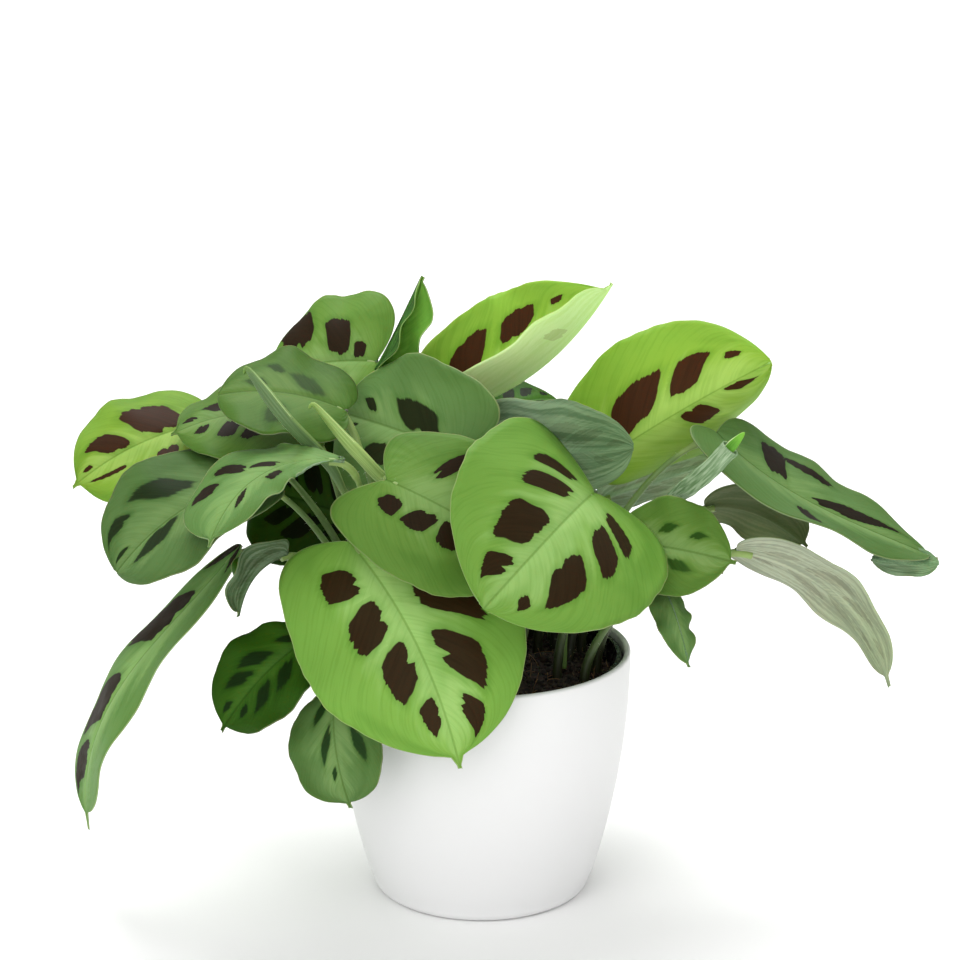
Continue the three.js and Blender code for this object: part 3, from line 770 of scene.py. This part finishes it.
# %% Leaf finish
def leaf_finish(name, body, margin, band, blotch, green_blotch, under, stripe):
    """A satin leaf: the greens of its upper side, its blotches, and its underside's two tones."""
    paint = Finish(name, Roughness=0.5, Subsurface_Weight=0.1, Subsurface_Scale=0.002,
                   Specular_IOR_Level=0.07)
    along, across, seed = (paint.attribute(key) for key in ("along", "across", "seed"))
    half, upper = paint.attribute("half"), paint.attribute("upper")
    out = abs(across)
    side = across.above(0)
    vein = vein_number(along, out)
    streaks = paint.pattern(vein * 60, out * 2.5, seed * 50 + side * 9, 3.0)
    broad = paint.pattern(vein * 11, out * 1.8, seed * 23 + side * 5)
    clouds = paint.pattern(along * 2.5, across * 2.0, seed * 31)
    brown = paint.attribute("brown")
    dark, around = blotch_masks(paint, seed, brown)

    # The upper side: broad tones, the blotches, and a thin pale rim of painted highlight.
    pale = 1 - paint.smooth(out - 0.9 * (broad - 0.5), 0.1, 0.55)
    pale = pale * paint.smooth(along, 0.0, 0.2) * (1 - 0.5 * paint.smooth(along, 0.75, 1.0))
    top = paint.mix(paint.smooth(out + 0.5 * (clouds - 0.5), 0.25, 1.0), body, margin)
    top = paint.mix(pale * 0.9, top, band)
    top = paint.tint(0.4 * around, top, "a9c890")
    top = paint.tint(0.22 * paint.smooth(streaks, 0.45, 0.65), top, "b9cfa2")
    top = paint.tint(0.35 * paint.smooth(clouds, 0.5, 0.72), top, "b4cf9c")
    rib = 1 - paint.smooth(half * out, 0.25, 0.8)
    top = paint.tint(rib * 0.45, top, "a4b472")
    blotch_colour = paint.tint(paint.smooth(streaks, 0.4, 0.7) * 0.4,
                               paint.mix(brown, green_blotch, blotch), "b4ac90")
    top = paint.mix(dark * 0.98, top, blotch_colour)
    # A thin pale rim along the margin: painted highlight where the edge would catch the light.
    edge = 1 - paint.smooth(half * (1 - out), 0.15, 0.5)
    top = paint.mix(edge * 0.4, top, "c3d092")

    # The underside, with the blotches faint through it.
    lengthwise = paint.pattern(along * 2.5 - out * 2, across * 11, seed * 60)
    stripes = paint.smooth(0.25 * streaks + 0.75 * lengthwise, 0.36, 0.66)
    below = paint.mix(stripes, under, stripe)
    below = paint.tint(dark * 0.3, below, "a89a92")
    below = paint.tint(0.5 * paint.smooth(along, 0.25, 0.9), below, "e0f6cc")
    # Each leaf's colour is scaled by its own share: its tone, and painted shade for a leaf in the
    # shade of others.
    depth = paint.attribute("depth")
    paint.set("Base Color", paint.tint(1.0, paint.mix(upper, below, top),
                                       paint.vector(depth, depth, depth)))
    paint.set("Roughness", 0.66 - 0.16 * upper)
    paint.bump(streaks * 0.6 + paint.grain(1500) * 0.4, 0.12, 0.6)
    return paint.material


# %% The greens
# Body, margin, band, brown blotch, green blotch, underside, and the stripes of the underside.
GREEN_TONES = {
    "lime": "8cb83c 84b23c a6cc60 3c1606 345410 9cc468 b0d480",
    "mid": "80b04a 76a644 a2cc74 2e180a 3c6a1c 84a870 9cba84",
    "pale": "72a244 669438 84ae54 34421c 3e661c a2aa92 c4ceb0",
    "blue": "6a9250 608644 86ab64 22140a 24441a 6c8a66 98b48e",
    # The dark greens are painted shade, for leaves deep inside the plant and under others.
    "dark": "3c6c14 346010 4c7c24 182408 18340a 4c6240 74886a",
    # This underside is pale, and painted paler still: painted light that shines through it from
    # behind.
    "lime_pale_below": "8cb83c 84b23c a6cc60 3c1606 345410 ccec9c d8f4b0",
    "silver_below": "6a9250 608644 86ab64 1e140a 24441a 86a07e a6bc9c",
    "olive": "4c6438 485e34 566c40 182408 18340a 4e5c38 5c6644",
    # The folded leaf's underside is nearly black: painted shade on the half that folds over.
    "folded": "6a9c3c 5c8c34 7cae4c 182408 18340a 18340c 3a6424",
}
GREENS = {key: leaf_finish("leaf_" + key, *tones.split()) for key, tones in GREEN_TONES.items()}
print("leaf finishes:", ", ".join(GREENS))

# %% [markdown]
# ## Every leaf in its place
#
# A row holds what was read from the plant: where the stalk leaves the soil, the two ends of the
# blade, where its upper side looks, how wide it is and how it bends. The CAD solids were made from
# the same rows. A few blades were moved by some millimetres here, to sit closer to the real ones.
#
# No two leaves have the same green. Each leaf keeps a share of the full colour, which holds both
# its tone and painted shade: a young one is pale and bright, and one in the shade of others is
# painted deeper. `brown` is 1 where the blotches are chocolate and 0 where they are only a deeper
# green. The rows of the blotches were read leaf by leaf, and all but the half that they are on are
# in hundredths.

# %% Leaves at the front and on the right
LEAF_DEFAULTS = dict(arch=(10, 8), sway=(0, 0), fold=(8, 8), curl=(-12, -12), widest=0.45,
                     lobe=(0.55, 0.55), wave=1.5, waves=2.5, bow=(0, 0, 0), neck=16, depth=0.74,
                     brown=1.0, blunt=False, skin=None, blotches=None)


def leaf(name, green, root, base, tip, face, width, blotches=None, **shape):
    """A row of the table. Its skin is its green, unless it has one of its own."""
    if blotches is not None:
        blotches = [(half, *(n / 100 for n in rest)) for half, *rest in blotches]
    return {**LEAF_DEFAULTS, **dict(shape, name="leaf_" + name, green=green, root=root, base=base,
                                    tip=tip, face=face, width=width, blotches=blotches)}


LEAVES = [
    leaf("front_over_rim", "mid", (-22, -34), (-58, -30, 173), (-9, -94, 92), (-0.15, -0.85, 0.5),
         98, widest=0.42, arch=(8, 12), fold=(-6, 6), curl=(-14, -14), lobe=(0.1, 0.9),
         sway=(-9, -10), depth=0.92, blotches=((1, 11, 18, -10, 58, 12), (1, 29, 12, 19, 50, 17),
         (1, 52, 8, 47, 42, 20), (1, 75, 5, 71, 30, 12), (-1, 27, 18, 17, 70, 14),
         (-1, 50, 14, 45, 58, 18), (-1, 70, 22, 62, 60, 10))),
    leaf("front_centre", "mid", (16, -18), (50, -15, 191), (-2, -98, 161), (0.42, -0.5, 0.75), 102,
         widest=0.38, arch=(22, 14), fold=(4, 10), curl=(-14, -8), lobe=(0.9, 0.9), blunt=True,
         blotches=((1, 3, 22, -2, 60, 8), (1, 19, 11, 15, 53, 12), (1, 50, 7, 42, 47, 22),
         (1, 72, 9, 65, 46, 11), (-1, 6, 24, 2, 62, 10), (-1, 21, 24, 19, 61, 15),
         (-1, 48, 23, 45, 60, 21), (-1, 71, 27, 65, 50, 5))),
    leaf("behind_centre", "mid", (-17, -23), (-41, -44, 205), (24, -52, 170), (-0.1, -0.75, 0.55),
         75, widest=0.4, arch=(10, 6), bow=(-3, 44, 34), fold=(-14, 8), lobe=(0.9, 1.3), depth=0.54,
         blunt=True, blotches=((1, 5, 20, -8, 48, 11), (1, 28, 13, 8, 43, 14),
         (1, 42, 12, 30, 45, 13), (-1, 13, 30, 0, 84, 9))),
    leaf("middle_left", "blue", (-4, -6), (-12, -4, 207), (-67, 44, 213), (-0.35, -0.75, 0.5), 72,
         widest=0.38, arch=(8, 6), lobe=(0.2, 1.2), depth=0.8, brown=0.7,
         blotches=((1, 22, 2, 22, 43, 32), (1, 60, 13, 59, 37, 8), (-1, 34, 22, 28, 54, 24),
         (-1, 71, 10, 70, 19, 4))),
    leaf("top_half_rolled", "lime", (-2, 34), (-3, 52, 215), (60, 62, 269), (-0.1, -0.85, 0.45), 84,
         widest=0.34, arch=(4, 0), fold=(6, 96), curl=(-14, 6), lobe=(1.4, 0.8), sway=(12, 9),
         depth=1.05, skin="lime_pale_below", blotches=((-1, -10, 40, -13, 75, 22),
         (-1, 24, 42, 21, 69, 27), (-1, 52, 50, 50, 61, 7), (-1, 66, 3, 74, 30, 14),
         (1, 50, 28, 28, 62, 10))),
    leaf("upper_right", "lime", (26, 20), (52, 34, 190), (136, 40, 239), (0.1, -0.75, 0.6), 88,
         widest=0.46, arch=(8, 8), fold=(4, -58), curl=(-14, -40), lobe=(0.9, 0.6), depth=0.95,
         blunt=True, blotches=((-1, 19, 8, 16, 54, 26), (-1, 47, 15, 45, 52, 17),
         (-1, 67, 33, 64, 46, 7), (1, 50, 3, 46, 33, 14), (1, 72, 2, 77, 20, 10))),
    leaf("middle_curled", "blue", (6, 8), (2, 16, 210), (71, 8, 206), (0.1, 0.62, 0.62), 56,
         arch=(-8, -6), fold=(-28, 8), curl=(10, 25), blunt=True),
    leaf("right_underside", "blue", (34, 28), (57, 70, 164), (112, 70, 183), (-0.1, 0.8, 0.5), 30,
         arch=(0, 0), depth=1.2, skin="silver_below"),
    leaf("right_bright", "mid", (34, -14), (63, 4, 162), (112, -26, 162), (0.15, -0.85, 0.42), 46,
         arch=(8, 8), depth=0.5, brown=0.0, blotches=((-1, 28, 25, 26, 50, 13),
         (-1, 54, 25, 53, 48, 11), (1, 46, 20, 44, 50, 19))),
    leaf("right_hanging", "blue", (46, -20), (82, -16, 146), (92, -34, 116), (0.1, -0.9, 0.2), 20,
         widest=0.2, fold=(-40, 0), lobe=(0.3, 0.3), blotches=()),
    leaf("right_dull", "blue", (46, 22), (102, 26, 173), (150, 28, 153), (0.1, 0.6, 0.7), 54,
         depth=1.1, skin="olive", blotches=()),
    leaf("far_right_long", "blue", (40, 10), (107, 29, 207), (208, 15, 151), (0.35, -0.6, 0.7), 62,
         widest=0.24, arch=(8, 10), bow=(4, 14, 0), fold=(-12, 36), lobe=(0.6, 0.6), sway=(24, 14),
         depth=0.66, blotches=((-1, 24, 12, -16, 76, 12), (-1, 12, 56, 6, 74, 26),
         (-1, 50, 4, 58, 42, 26), (1, 20, 50, 5, 88, 5))),
    leaf("far_right_low", "pale", (52, -4), (114, -5, 162), (183, -20, 102), (0.45, 0.65, 0.55), 40,
         widest=0.4, arch=(20, 24), depth=0.77),
    leaf("top_inside", "dark", (6, 22), (4, 54, 204), (38, 82, 208), (0, -0.3, 0.95), 44, neck=30),
]
print("leaves so far:", len(LEAVES))

# %% Leaves on the left
LEAVES += [
    leaf("top_left", "mid", (-18, 28), (-49, 72, 230), (-104, 90, 218), (-0.1, -0.7, 0.7), 82,
         widest=0.25, arch=(8, 6), bow=(-4, 10, 0), curl=(-12, -25), lobe=(0.3, 0.45), depth=0.62,
         blotches=((1, 27, 7, 10, 60, 19), (1, 56, 26, 26, 99, 26), (1, 13, 3, 4, 26, 9),
         (-1, 22, 15, 22, 50, 16), (-1, 48, 15, 48, 45, 14))),
    leaf("left_behind", "mid", (-44, 2), (-82, 30, 215), (-140, 18, 209), (-0.1, -0.4, 0.85), 68,
         arch=(8, 8), bow=(-16, -4, 0), fold=(4, -10), lobe=(0.9, 0.9), depth=0.46),
    leaf("left_pale", "pale", (-31, -8), (-60, 6, 223), (-120, 8, 229), (-0.1, -0.3, 0.9), 72,
         arch=(8, 8), bow=(-10, -22, 14), fold=(8, 5), lobe=(0.3, 0.5), neck=6, depth=0.46,
         brown=0.0, blunt=True, blotches=((1, 36, 38, 34, 62, 10), (1, 22, 4, 20, 48, 22),
         (1, 62, 8, 60, 32, 15), (-1, 40, 28, 12, 80, 17))),
    leaf("far_left_lime", "lime", (-50, 9), (-123, 44, 208), (-186, 22, 183), (-0.1, -0.5, 0.8), 76,
         widest=0.52, arch=(10, 10), fold=(8, 4), curl=(-12, -26), lobe=(0.4, 0.4), depth=0.7,
         blotches=((1, 28, 2, 15, 62, 31), (1, 60, 3, 55, 52, 18), (1, 83, 6, 81, 18, 6),
         (-1, 26, 27, 20, 50, 15), (-1, 66, 24, 65, 33, 24))),
    leaf("left_broad", "blue", (-50, -10), (-102, -10, 196), (-162, -34, 157), (-0.2, -0.45, 0.85),
         82, widest=0.58, arch=(12, 12), fold=(18, 6), lobe=(0.8, 0.8), depth=0.58, brown=0.4,
         blunt=True, blotches=((1, 27, 20, 28, 66, 25), (1, 56, 40, 54, 72, 15),
         (1, 79, 10, 82, 26, 7), (-1, 55, 2, 62, 36, 26))),
    leaf("left_front", "blue", (-41, -7), (-59, -44, 214), (-115, -74, 184), (-0.2, -0.55, 0.8), 58,
         widest=0.7, arch=(6, 6), bow=(-16, 4, 10), fold=(34, -14), lobe=(-0.8, -1.6),
         sway=(20, 18), depth=0.84, blotches=((1, 37, 34, 20, 82, 7), (1, 47, 48, 34, 84, 11),
         (1, 33, 6, 32, 36, 8), (-1, 36, 22, 16, 60, 11), (-1, 60, 10, 62, 34, 10))),
    leaf("far_left_hanging", "blue", (-54, 0), (-108, -5, 164), (-179, -20, 33),
         (-0.8, -0.35, 0.45), 46, widest=0.8, arch=(12, 32), fold=(2, -2), curl=(-6, -6),
         lobe=(0.1, 0.1), sway=(-6, 16), depth=1.0, blotches=((1, -8, 2, -44, 99, 24),
         (1, 28, 3, -8, 99, 22), (1, 60, 3, 24, 99, 18), (1, 78, 10, 48, 85, 12),
         (-1, -6, 2, -30, 70, 20))),
    leaf("left_small", "dark", (-50, -20), (-86, -24, 166), (-107, -34, 140), (-0.5, -0.4, 0.6), 28,
         fold=(80, 10), depth=0.86),
    leaf("low_left_dark", "dark", (-42, -32), (-71, -38, 134), (-114, -52, 93), (-0.35, -0.6, 0.6),
         48, widest=0.55, lobe=(-0.5, -0.5), depth=0.58, brown=0.0),
    leaf("low_left_by_pot", "blue", (-32, -44), (-63, -48, 116), (-57, -70, 64), (-0.5, -0.75, 0.2),
         48, widest=0.66, lobe=(-0.6, -0.6), depth=0.68, brown=0.0,
         blotches=((1, 36, 4, 50, 32, 20), (1, 68, 4, 70, 17, 8), (1, 10, 10, 12, 50, 15),
         (-1, 27, 38, 28, 72, 22))),
    leaf("top_folded", "dark", (-12, 18), (-48, 58, 229), (-27, 58, 273), (-0.2, -0.9, 0.3), 36,
         arch=(4, 2), fold=(110, 30), curl=(0, 0), sway=(2, 1), depth=1.35, skin="folded",
         blotches=()),
]
print("leaves so far:", len(LEAVES))

# %% [markdown]
# The back of the plant can't be seen. Its leaves are guessed, so that the plant is as full there as
# in front, and they follow the visible ones in size, blotches and droop.

# %% Leaves inside and at the back
LEAVES += [
    # This leaf is painted very deep: painted shade, as it stands deep inside the plant.
    leaf("left_inside", "dark", (-32, 20), (-58, 30, 165), (-108, 48, 175), (-0.2, -0.8, 0.6), 66,
         depth=0.4),
    leaf("back_right", "mid", (22, 50), (18, 72, 166), (40, 130, 116), (0.1, 0.7, 0.7), 80),
    leaf("back_left", "mid", (-28, 46), (-38, 70, 164), (-64, 126, 118), (-0.1, 0.7, 0.7), 80),
    leaf("back_over_rim", "blue", (-4, 54), (-8, 66, 140), (-10, 106, 84), (0, 0.8, 0.5), 72),
    leaf("back_far_right", "blue", (33, 43), (48, 60, 134), (66, 106, 96), (0.3, 0.6, 0.6), 64),
    leaf("back_far_left", "mid", (-40, 36), (-78, 56, 184), (-140, 100, 158), (-0.4, 0.4, 0.8), 76,
         bow=(4, 2, 16)),
    leaf("back_right_flat", "dark", (42, 33), (62, 54, 148), (106, 102, 114), (0.4, 0.4, 0.8), 68),
    leaf("back_top_left", "mid", (-10, 42), (-22, 70, 196), (-44, 130, 184), (-0.1, 0.2, 0.95), 70),
    leaf("back_top_right", "lime", (12, 42), (22, 62, 192), (44, 124, 176), (0.1, 0.3, 0.95), 72),
]
print("leaves:", len(LEAVES))

# %% Blades
SEED_STEP = 0.618
for k, row in enumerate(LEAVES):
    row["seed"] = (k * SEED_STEP) % 1
    own(blade_mesh(row), "leaf_" + row["green"], row["name"])
print("blades:", len(LEAVES))

# %% [markdown]
# The end of the long leaf on the far right is turned over: it hangs from a crease and shows its
# underside. It is one more small blade along the crease, with its upper side away from the front.

# %% Turned-over end
turned_over = leaf("turned_over_end", "blue", None, (177, 11, 152), (209, 10, 150),
                   (0.1, 0.9, -0.25), 14, (), widest=0.55, arch=(0, 2), fold=(-6, 14),
                   lobe=(-0.3, -0.3), wave=0.8, depth=0.9, blunt=True, seed=0.37)
turned_end = own(blade_mesh(turned_over), "leaf_blue")
print("turned-over end:", len(turned_end.data.polygons), "faces")

# %% [markdown]
# ## Stalks
#
# Each stalk starts upright in the soil, leans out and comes in along the midrib, just under the
# blade. It is widest at the foot, where it sheathes the stem, and has a short swollen joint near
# its end. Bent cylinders would need a modifier each. Here all the stalks are one curve object, and
# one tree gives them their thickness. Then another tree grows short pale hairs on them.

# %% Stalk curves
STALK_POINTS, STALK_BURIED, STALK_UPRIGHT = 40, 14, 0.45
STALK_ENDS, STALK_BELOW_BLADE = 0.07, 1.8


def stalk_line(leaf):
    """Points down the middle of a stalk, in mm."""
    x, y = leaf["root"]
    start = np.array([x, y, soil_top(x, y) + 1])
    control, side = midrib(leaf)
    slope = unit(arched_slope(control, STALK_ENDS))
    end = arched(control, STALK_ENDS) - STALK_BELOW_BLADE * unit(np.cross(side, slope))
    rise = start + np.array(leaf["bow"]) + [0, 0, STALK_UPRIGHT * np.linalg.norm(end - start)]
    arrive = control[0] - unit(arched_slope(control, 0.0)) * leaf["neck"]
    path = arched(np.array([start, rise, arrive, end]), np.linspace(0, 1, STALK_POINTS)[:, None])
    return np.vstack([start - [0, 0, STALK_BURIED], path])


def curve_object(name, lines):
    """One curve object with a straight-segment spline for each line of points."""
    data = bpy.data.curves.new(name, "CURVE")
    data.dimensions = "3D"
    for line in lines:
        spline = data.splines.new("POLY")
        spline.points.add(len(line) - 1)
        spline.points.foreach_set("co", np.c_[line * MM, np.ones(len(line))].ravel())
    return placed(name, data)


# %% Stalk tree
stalk_skin = Finish("stalk_green", Roughness=0.5, Subsurface_Weight=0.1, Subsurface_Scale=0.002)
up_the_stalk = stalk_skin.attribute("up_the_stalk")
mottle = stalk_skin.grain(90, 3)
# The foot of each stalk is painted dark, partly its own colour and partly painted shade under the
# leaves.
stalk_colour = stalk_skin.mix(stalk_skin.smooth(up_the_stalk, 0.15, 0.65), "2e3016", "74924e")
stalk_colour = stalk_skin.mix(stalk_skin.smooth(up_the_stalk, 0.8, 0.84) * 0.7, stalk_colour,
                              "a4bc6c")
stalk_skin.set("Base Color", stalk_skin.tint(mottle, stalk_colour, "a8b890"))
stalk_skin.bump(stalk_skin.grain(1200), 0.1)

stalk_tree = Growth("sweep_stalks", stalk_skin.material, Foot_radius=0.0024, Neck_radius=0.0013,
                    Joint_radius=0.0017, Joint_start=0.86, Sides=12)
factor = stalk_tree.node("GeometryNodeSplineParameter")
taper = stalk_tree.smooth(factor, 0.0, stalk_tree.given("Joint start"))
foot, neck = stalk_tree.given("Foot radius"), stalk_tree.given("Neck radius")
radius = foot + (neck - foot) * taper
swollen = stalk_tree.smooth(factor, stalk_tree.given("Joint start"),
                            stalk_tree.given("Joint start") + 0.02)
radius = radius + (stalk_tree.given("Joint radius") - neck) * swollen
marked = stalk_tree.node("GeometryNodeStoreNamedAttribute", {"domain": "POINT"}, {
    "Geometry": stalk_tree.given("Geometry"), "Name": "up_the_stalk", "Value": factor})
stalk_tree.finish(stalk_tree.swept(marked, stalk_tree.given("Sides"), 1.0, radius))

stalk_curves = curve_object("stalk_lines", [stalk_line(row) for row in LEAVES])
stalks = grow("stalks", stalk_curves, stalk_tree)
own(stalks, "leaf_rolled")

# %% Hairs
HAIR_RADIUS, HAIR_LEAN = 0.00006, 0.7
hair_skin = Finish("pale_hair", Base_Color="dfe6cf", Roughness=0.7)
hair_tree = Growth("grow_hairs", hair_skin.material, Density=30000.0, Length=0.0014, Seed=4)
hair_points = hair_tree.scattered()
outward = hair_tree.node("FunctionNodeAlignRotationToVector", {"axis": "Z"}, {
    "Vector": Value(hair_tree, hair_points.socket.node.outputs["Normal"])})
sway = hair_tree.turned_by_chance((-HAIR_LEAN, -HAIR_LEAN, 0), (HAIR_LEAN, HAIR_LEAN, FULL_TURN), 9)
lean = hair_tree.node("FunctionNodeRotateRotation", {"rotation_space": "LOCAL"}, {
    0: outward, 1: sway})
hair = hair_tree.node("GeometryNodeMeshCone", inputs={
    "Vertices": 3, "Radius Bottom": HAIR_RADIUS, "Depth": hair_tree.given("Length")})
hair_tree.finish(hair_tree.node("GeometryNodeInstanceOnPoints", inputs={
    "Points": hair_points, "Instance": hair, "Rotation": lean}))
own(grow("stalk_hairs", stalks, hair_tree), "leaf_rolled")
bpy.data.objects.remove(stalk_curves)

# %% [markdown]
# ## Rolled new leaves
#
# A new leaf comes up rolled like a scroll, underside out. Its stalk swells into the roll, which
# keeps its width almost to the end. The free edge makes one pale seam along it, the keel makes
# another, and the two on the left end in a small hook. The one on the right still wears its sheath.
# A blade could be rolled up for it, but only the outside shows, so a tube is enough: its radius
# steps in where the free edge lies on the turn below.

# %% Paths of the new leaves
NEW_LEAVES = [
    dict(name="new_leaf_right", root=(36, -4), tip=(115, -18, 219), radius=2.2, blunt=0.05,
         skin=("rolled_bright", "78b444", "5c9a2c", "cfe4a8", "78b83c"),
         path=((40, 3, 128), (66, 10, 160), (86, 8, 181), (100, -12, 200))),
    dict(name="new_leaf_left_long", root=(-36, 0), tip=(-103, -22, 246), radius=3.0, blunt=0.12,
         skin=("rolled_grey", "7c9a58", "5e7850", "b4cc90", "6c9040"),
         path=((-38, -1, 135), (-48, -4, 165), (-60, -10, 188), (-67, -21, 206), (-84, -36, 230),
               (-99.5, -24, 247), (-102, -22, 248.5))),
    dict(name="new_leaf_left_short", root=(-27, -20), tip=(-75, -22, 230.5), radius=3.0, blunt=0.2,
         skin=("rolled_pale", "a8c474", "98b468", "ccdc9c", "88a854"),
         path=((-28, -21, 135), (-30, -20, 163), (-38, -21, 191), (-48, -24, 205),
               (-60, -24, 218.5), (-71.5, -22, 231.5), (-74, -22, 232.5))),
]
ROLL_ROWS = 160


def smooth_path(knots, count):
    """A smooth curve through the knots, as evenly spaced points in mm."""
    knots = np.array(knots, float)
    knots = np.vstack([2 * knots[0] - knots[1], knots, 2 * knots[-1] - knots[-2]])
    parts = []
    for a, b, c, d in zip(knots, knots[1:], knots[2:], knots[3:]):
        u = np.linspace(0, 1, 60, endpoint=False)[:, None]
        parts.append(0.5 * (2 * b + (c - a) * u + (2 * a - 5 * b + 4 * c - d) * u ** 2
                            + (3 * b - a - 3 * c + d) * u ** 3))
    dense = np.vstack([*parts, knots[-2]])
    length = np.r_[0, np.cumsum(np.linalg.norm(np.diff(dense, axis=0), axis=1))]
    even = np.linspace(0, length[-1], count)
    return np.stack([np.interp(even, length, dense[:, k]) for k in range(3)], 1)


def path_up(row):
    """The middle of a new leaf, from the soil to its tip."""
    x, y = row["root"]
    return smooth_path([(x, y, soil_top(x, y) + 1), *row["path"], row["tip"]], ROLL_ROWS)


roll_paths = {row["name"]: path_up(row) for row in NEW_LEAVES}
print("new leaves:", ", ".join(roll_paths))

# %% Finish of a rolled leaf
ROLL_START = 0.45
SEAM_AT, SEAM_TURN, KEEL_AT = 0.97, 0.1, 0.58


def roll_finish(name, outside, shaded, edge, tip):
    """A rolled leaf: its underside, the hollow between keel and seam, their pale edges, its tip."""
    paint = Finish(name, Roughness=0.55, Subsurface_Weight=0.1, Subsurface_Scale=0.002,
                   Specular_IOR_Level=0.2)
    along, around = paint.attribute("along"), paint.attribute("around")
    rolled = paint.smooth(along, ROLL_START, ROLL_START + 0.15)
    lines = paint.pattern(along * 5, around * 34, 0, 3.0)
    colour = paint.mix(rolled, "7c9a54", outside)
    keel = KEEL_AT - SEAM_AT + 1
    hollow = paint.smooth(around, keel, keel + 0.06) * (1 - paint.smooth(around, 0.93, 0.99))
    colour = paint.mix(hollow * rolled * 0.85, colour, shaded)
    colour = paint.tint(paint.smooth(lines, 0.4, 0.6) * 0.5, colour, "acbc98")
    seam = 1 - paint.smooth(around, 0.01, 0.05)
    ridge = 1 - paint.smooth(abs(around - keel), 0.02, 0.07)
    colour = paint.mix(seam.most(ridge) * rolled * 0.85, colour, edge)
    colour = paint.mix(paint.smooth(along, 0.95, 0.99) * 0.8, colour, tip)
    paint.set("Base Color", colour)
    paint.bump(lines, 0.1)
    return paint.material


# %% Rolls
ROLL_POINTS, STEM_FOOT, STEM_NECK, ROLL_TIP = 36, 2.4, 1.3, 0.3


def tube(path, radius):
    """A grid of points around a path; radius holds one number per row and point."""
    along = unit(np.gradient(path, axis=0))
    first = unit(np.cross([0.0, 1.0, 0.0], along))
    second = np.cross(along, first)
    turns = 2 * math.pi * np.arange(radius.shape[1]) / radius.shape[1]
    ring = (np.cos(turns)[:, None] * first[:, None] + np.sin(turns)[:, None] * second[:, None])
    return path[:, None] + ring * radius[..., None]


def closed_tube(name, grid, material, **attributes):
    """A mesh around a grid of rings, with one face over each end."""
    rows, columns = grid.shape[:2]
    points = grid.reshape(-1, 3)
    faces = grid_faces(rows, columns, closed=True)
    faces.append(tuple(range(columns))[::-1])
    faces.append(tuple(range((rows - 1) * columns, rows * columns)))
    return new_mesh(name, points, faces, material, **attributes)


for row in NEW_LEAVES:
    s = np.linspace(0, 1, ROLL_ROWS)[:, None]
    around = (np.arange(ROLL_POINTS)[None] / ROLL_POINTS - SEAM_AT + SEAM_TURN * s) % 1
    stem = STEM_FOOT + (STEM_NECK - STEM_FOOT) * np.clip(s / 0.5, 0, 1)
    furled = row["radius"] * np.clip((1 - s) / row["blunt"], 0, 1) ** 0.6 + ROLL_TIP
    swell = np.clip((s - ROLL_START) / 0.25, 0, 1)
    swell = swell * swell * (3 - 2 * swell)
    seam = 1 + swell * (0.3 * (around - 0.5) - 0.16 * np.sin(2 * math.pi * around) ** 2)
    radius = (stem * (1 - swell) + furled * swell) * seam
    roll = closed_tube(row["name"] + "_roll", tube(roll_paths[row["name"]], radius),
                       roll_finish(*row["skin"]), along=np.broadcast_to(s, radius.shape),
                       around=around)
    own(roll, "leaf_rolled", row["name"])
    print(roll.name + ":", len(roll.data.polygons), "faces")

# %% [markdown]
# The sheath is the last thing to be shed. It is thick, grey-green and wrinkled like crumpled paper,
# and ends in a torn rim round the bright tip of the new leaf. A cloth simulation could crumple it,
# but a sum of sines gives such wrinkles at once. It is a tube with a wall of its own.

# %% Papery sheath
SHEATH_ROWS = slice(84, 150)   # the rows of the roll that it covers
SHEATH_FOOT, SHEATH_RADIUS, SHEATH_WALL, SHEATH_COLUMNS = 1.8, 4.4, 0.3, 72

sheath_skin = Finish("papery_sheath", Roughness=0.7, Specular_IOR_Level=0.2)
up_the_sheath, round_the_sheath = (sheath_skin.attribute(key) for key in ("along", "around"))
fibre = sheath_skin.pattern(up_the_sheath * 7, round_the_sheath * 26, 1, 3.0)
sheath_skin.set("Base Color", sheath_skin.mix(sheath_skin.smooth(fibre, 0.38, 0.66), "6c8a60",
                                              "a0b694"))
sheath_skin.bump(fibre, 0.3)

sheath_path = roll_paths["new_leaf_right"][SHEATH_ROWS]
rows, columns = len(sheath_path), SHEATH_COLUMNS
s = np.linspace(0, 1, rows)[:, None]
turn = 2 * math.pi * np.arange(columns)[None] / columns
wrinkle = (0.30 * np.sin(5 * turn + 5 * np.sin(5 * s)) + 0.22 * np.sin(11 * turn - 9 * s)
           + 0.14 * np.sin(19 * turn + 14 * s) + 0.16 * np.sin(34 * s + 3 * turn))
torn = 0.5 * np.abs(np.sin(2.5 * turn)) * (s > 0.96)
outer = SHEATH_FOOT + (SHEATH_RADIUS - SHEATH_FOOT) * np.clip(s / 0.5, 0, 1) ** 0.8
outer = outer - 0.5 * s ** 3 + 0.5 * wrinkle + torn
skin = np.vstack([tube(sheath_path, outer), tube(sheath_path, outer - SHEATH_WALL)[::-1]])
shape = skin.shape[:2]
faces = grid_faces(shape[0], columns, closed=True, looped=True)
sheath = new_mesh("new_leaf_sheath", skin.reshape(-1, 3), faces, sheath_skin.material,
                  along=np.vstack([s, s[::-1]]) + np.zeros(shape),
                  around=np.broadcast_to(turn / (2 * math.pi), shape))
own(sheath, "leaf_rolled")
print("sheath:", len(faces), "faces")
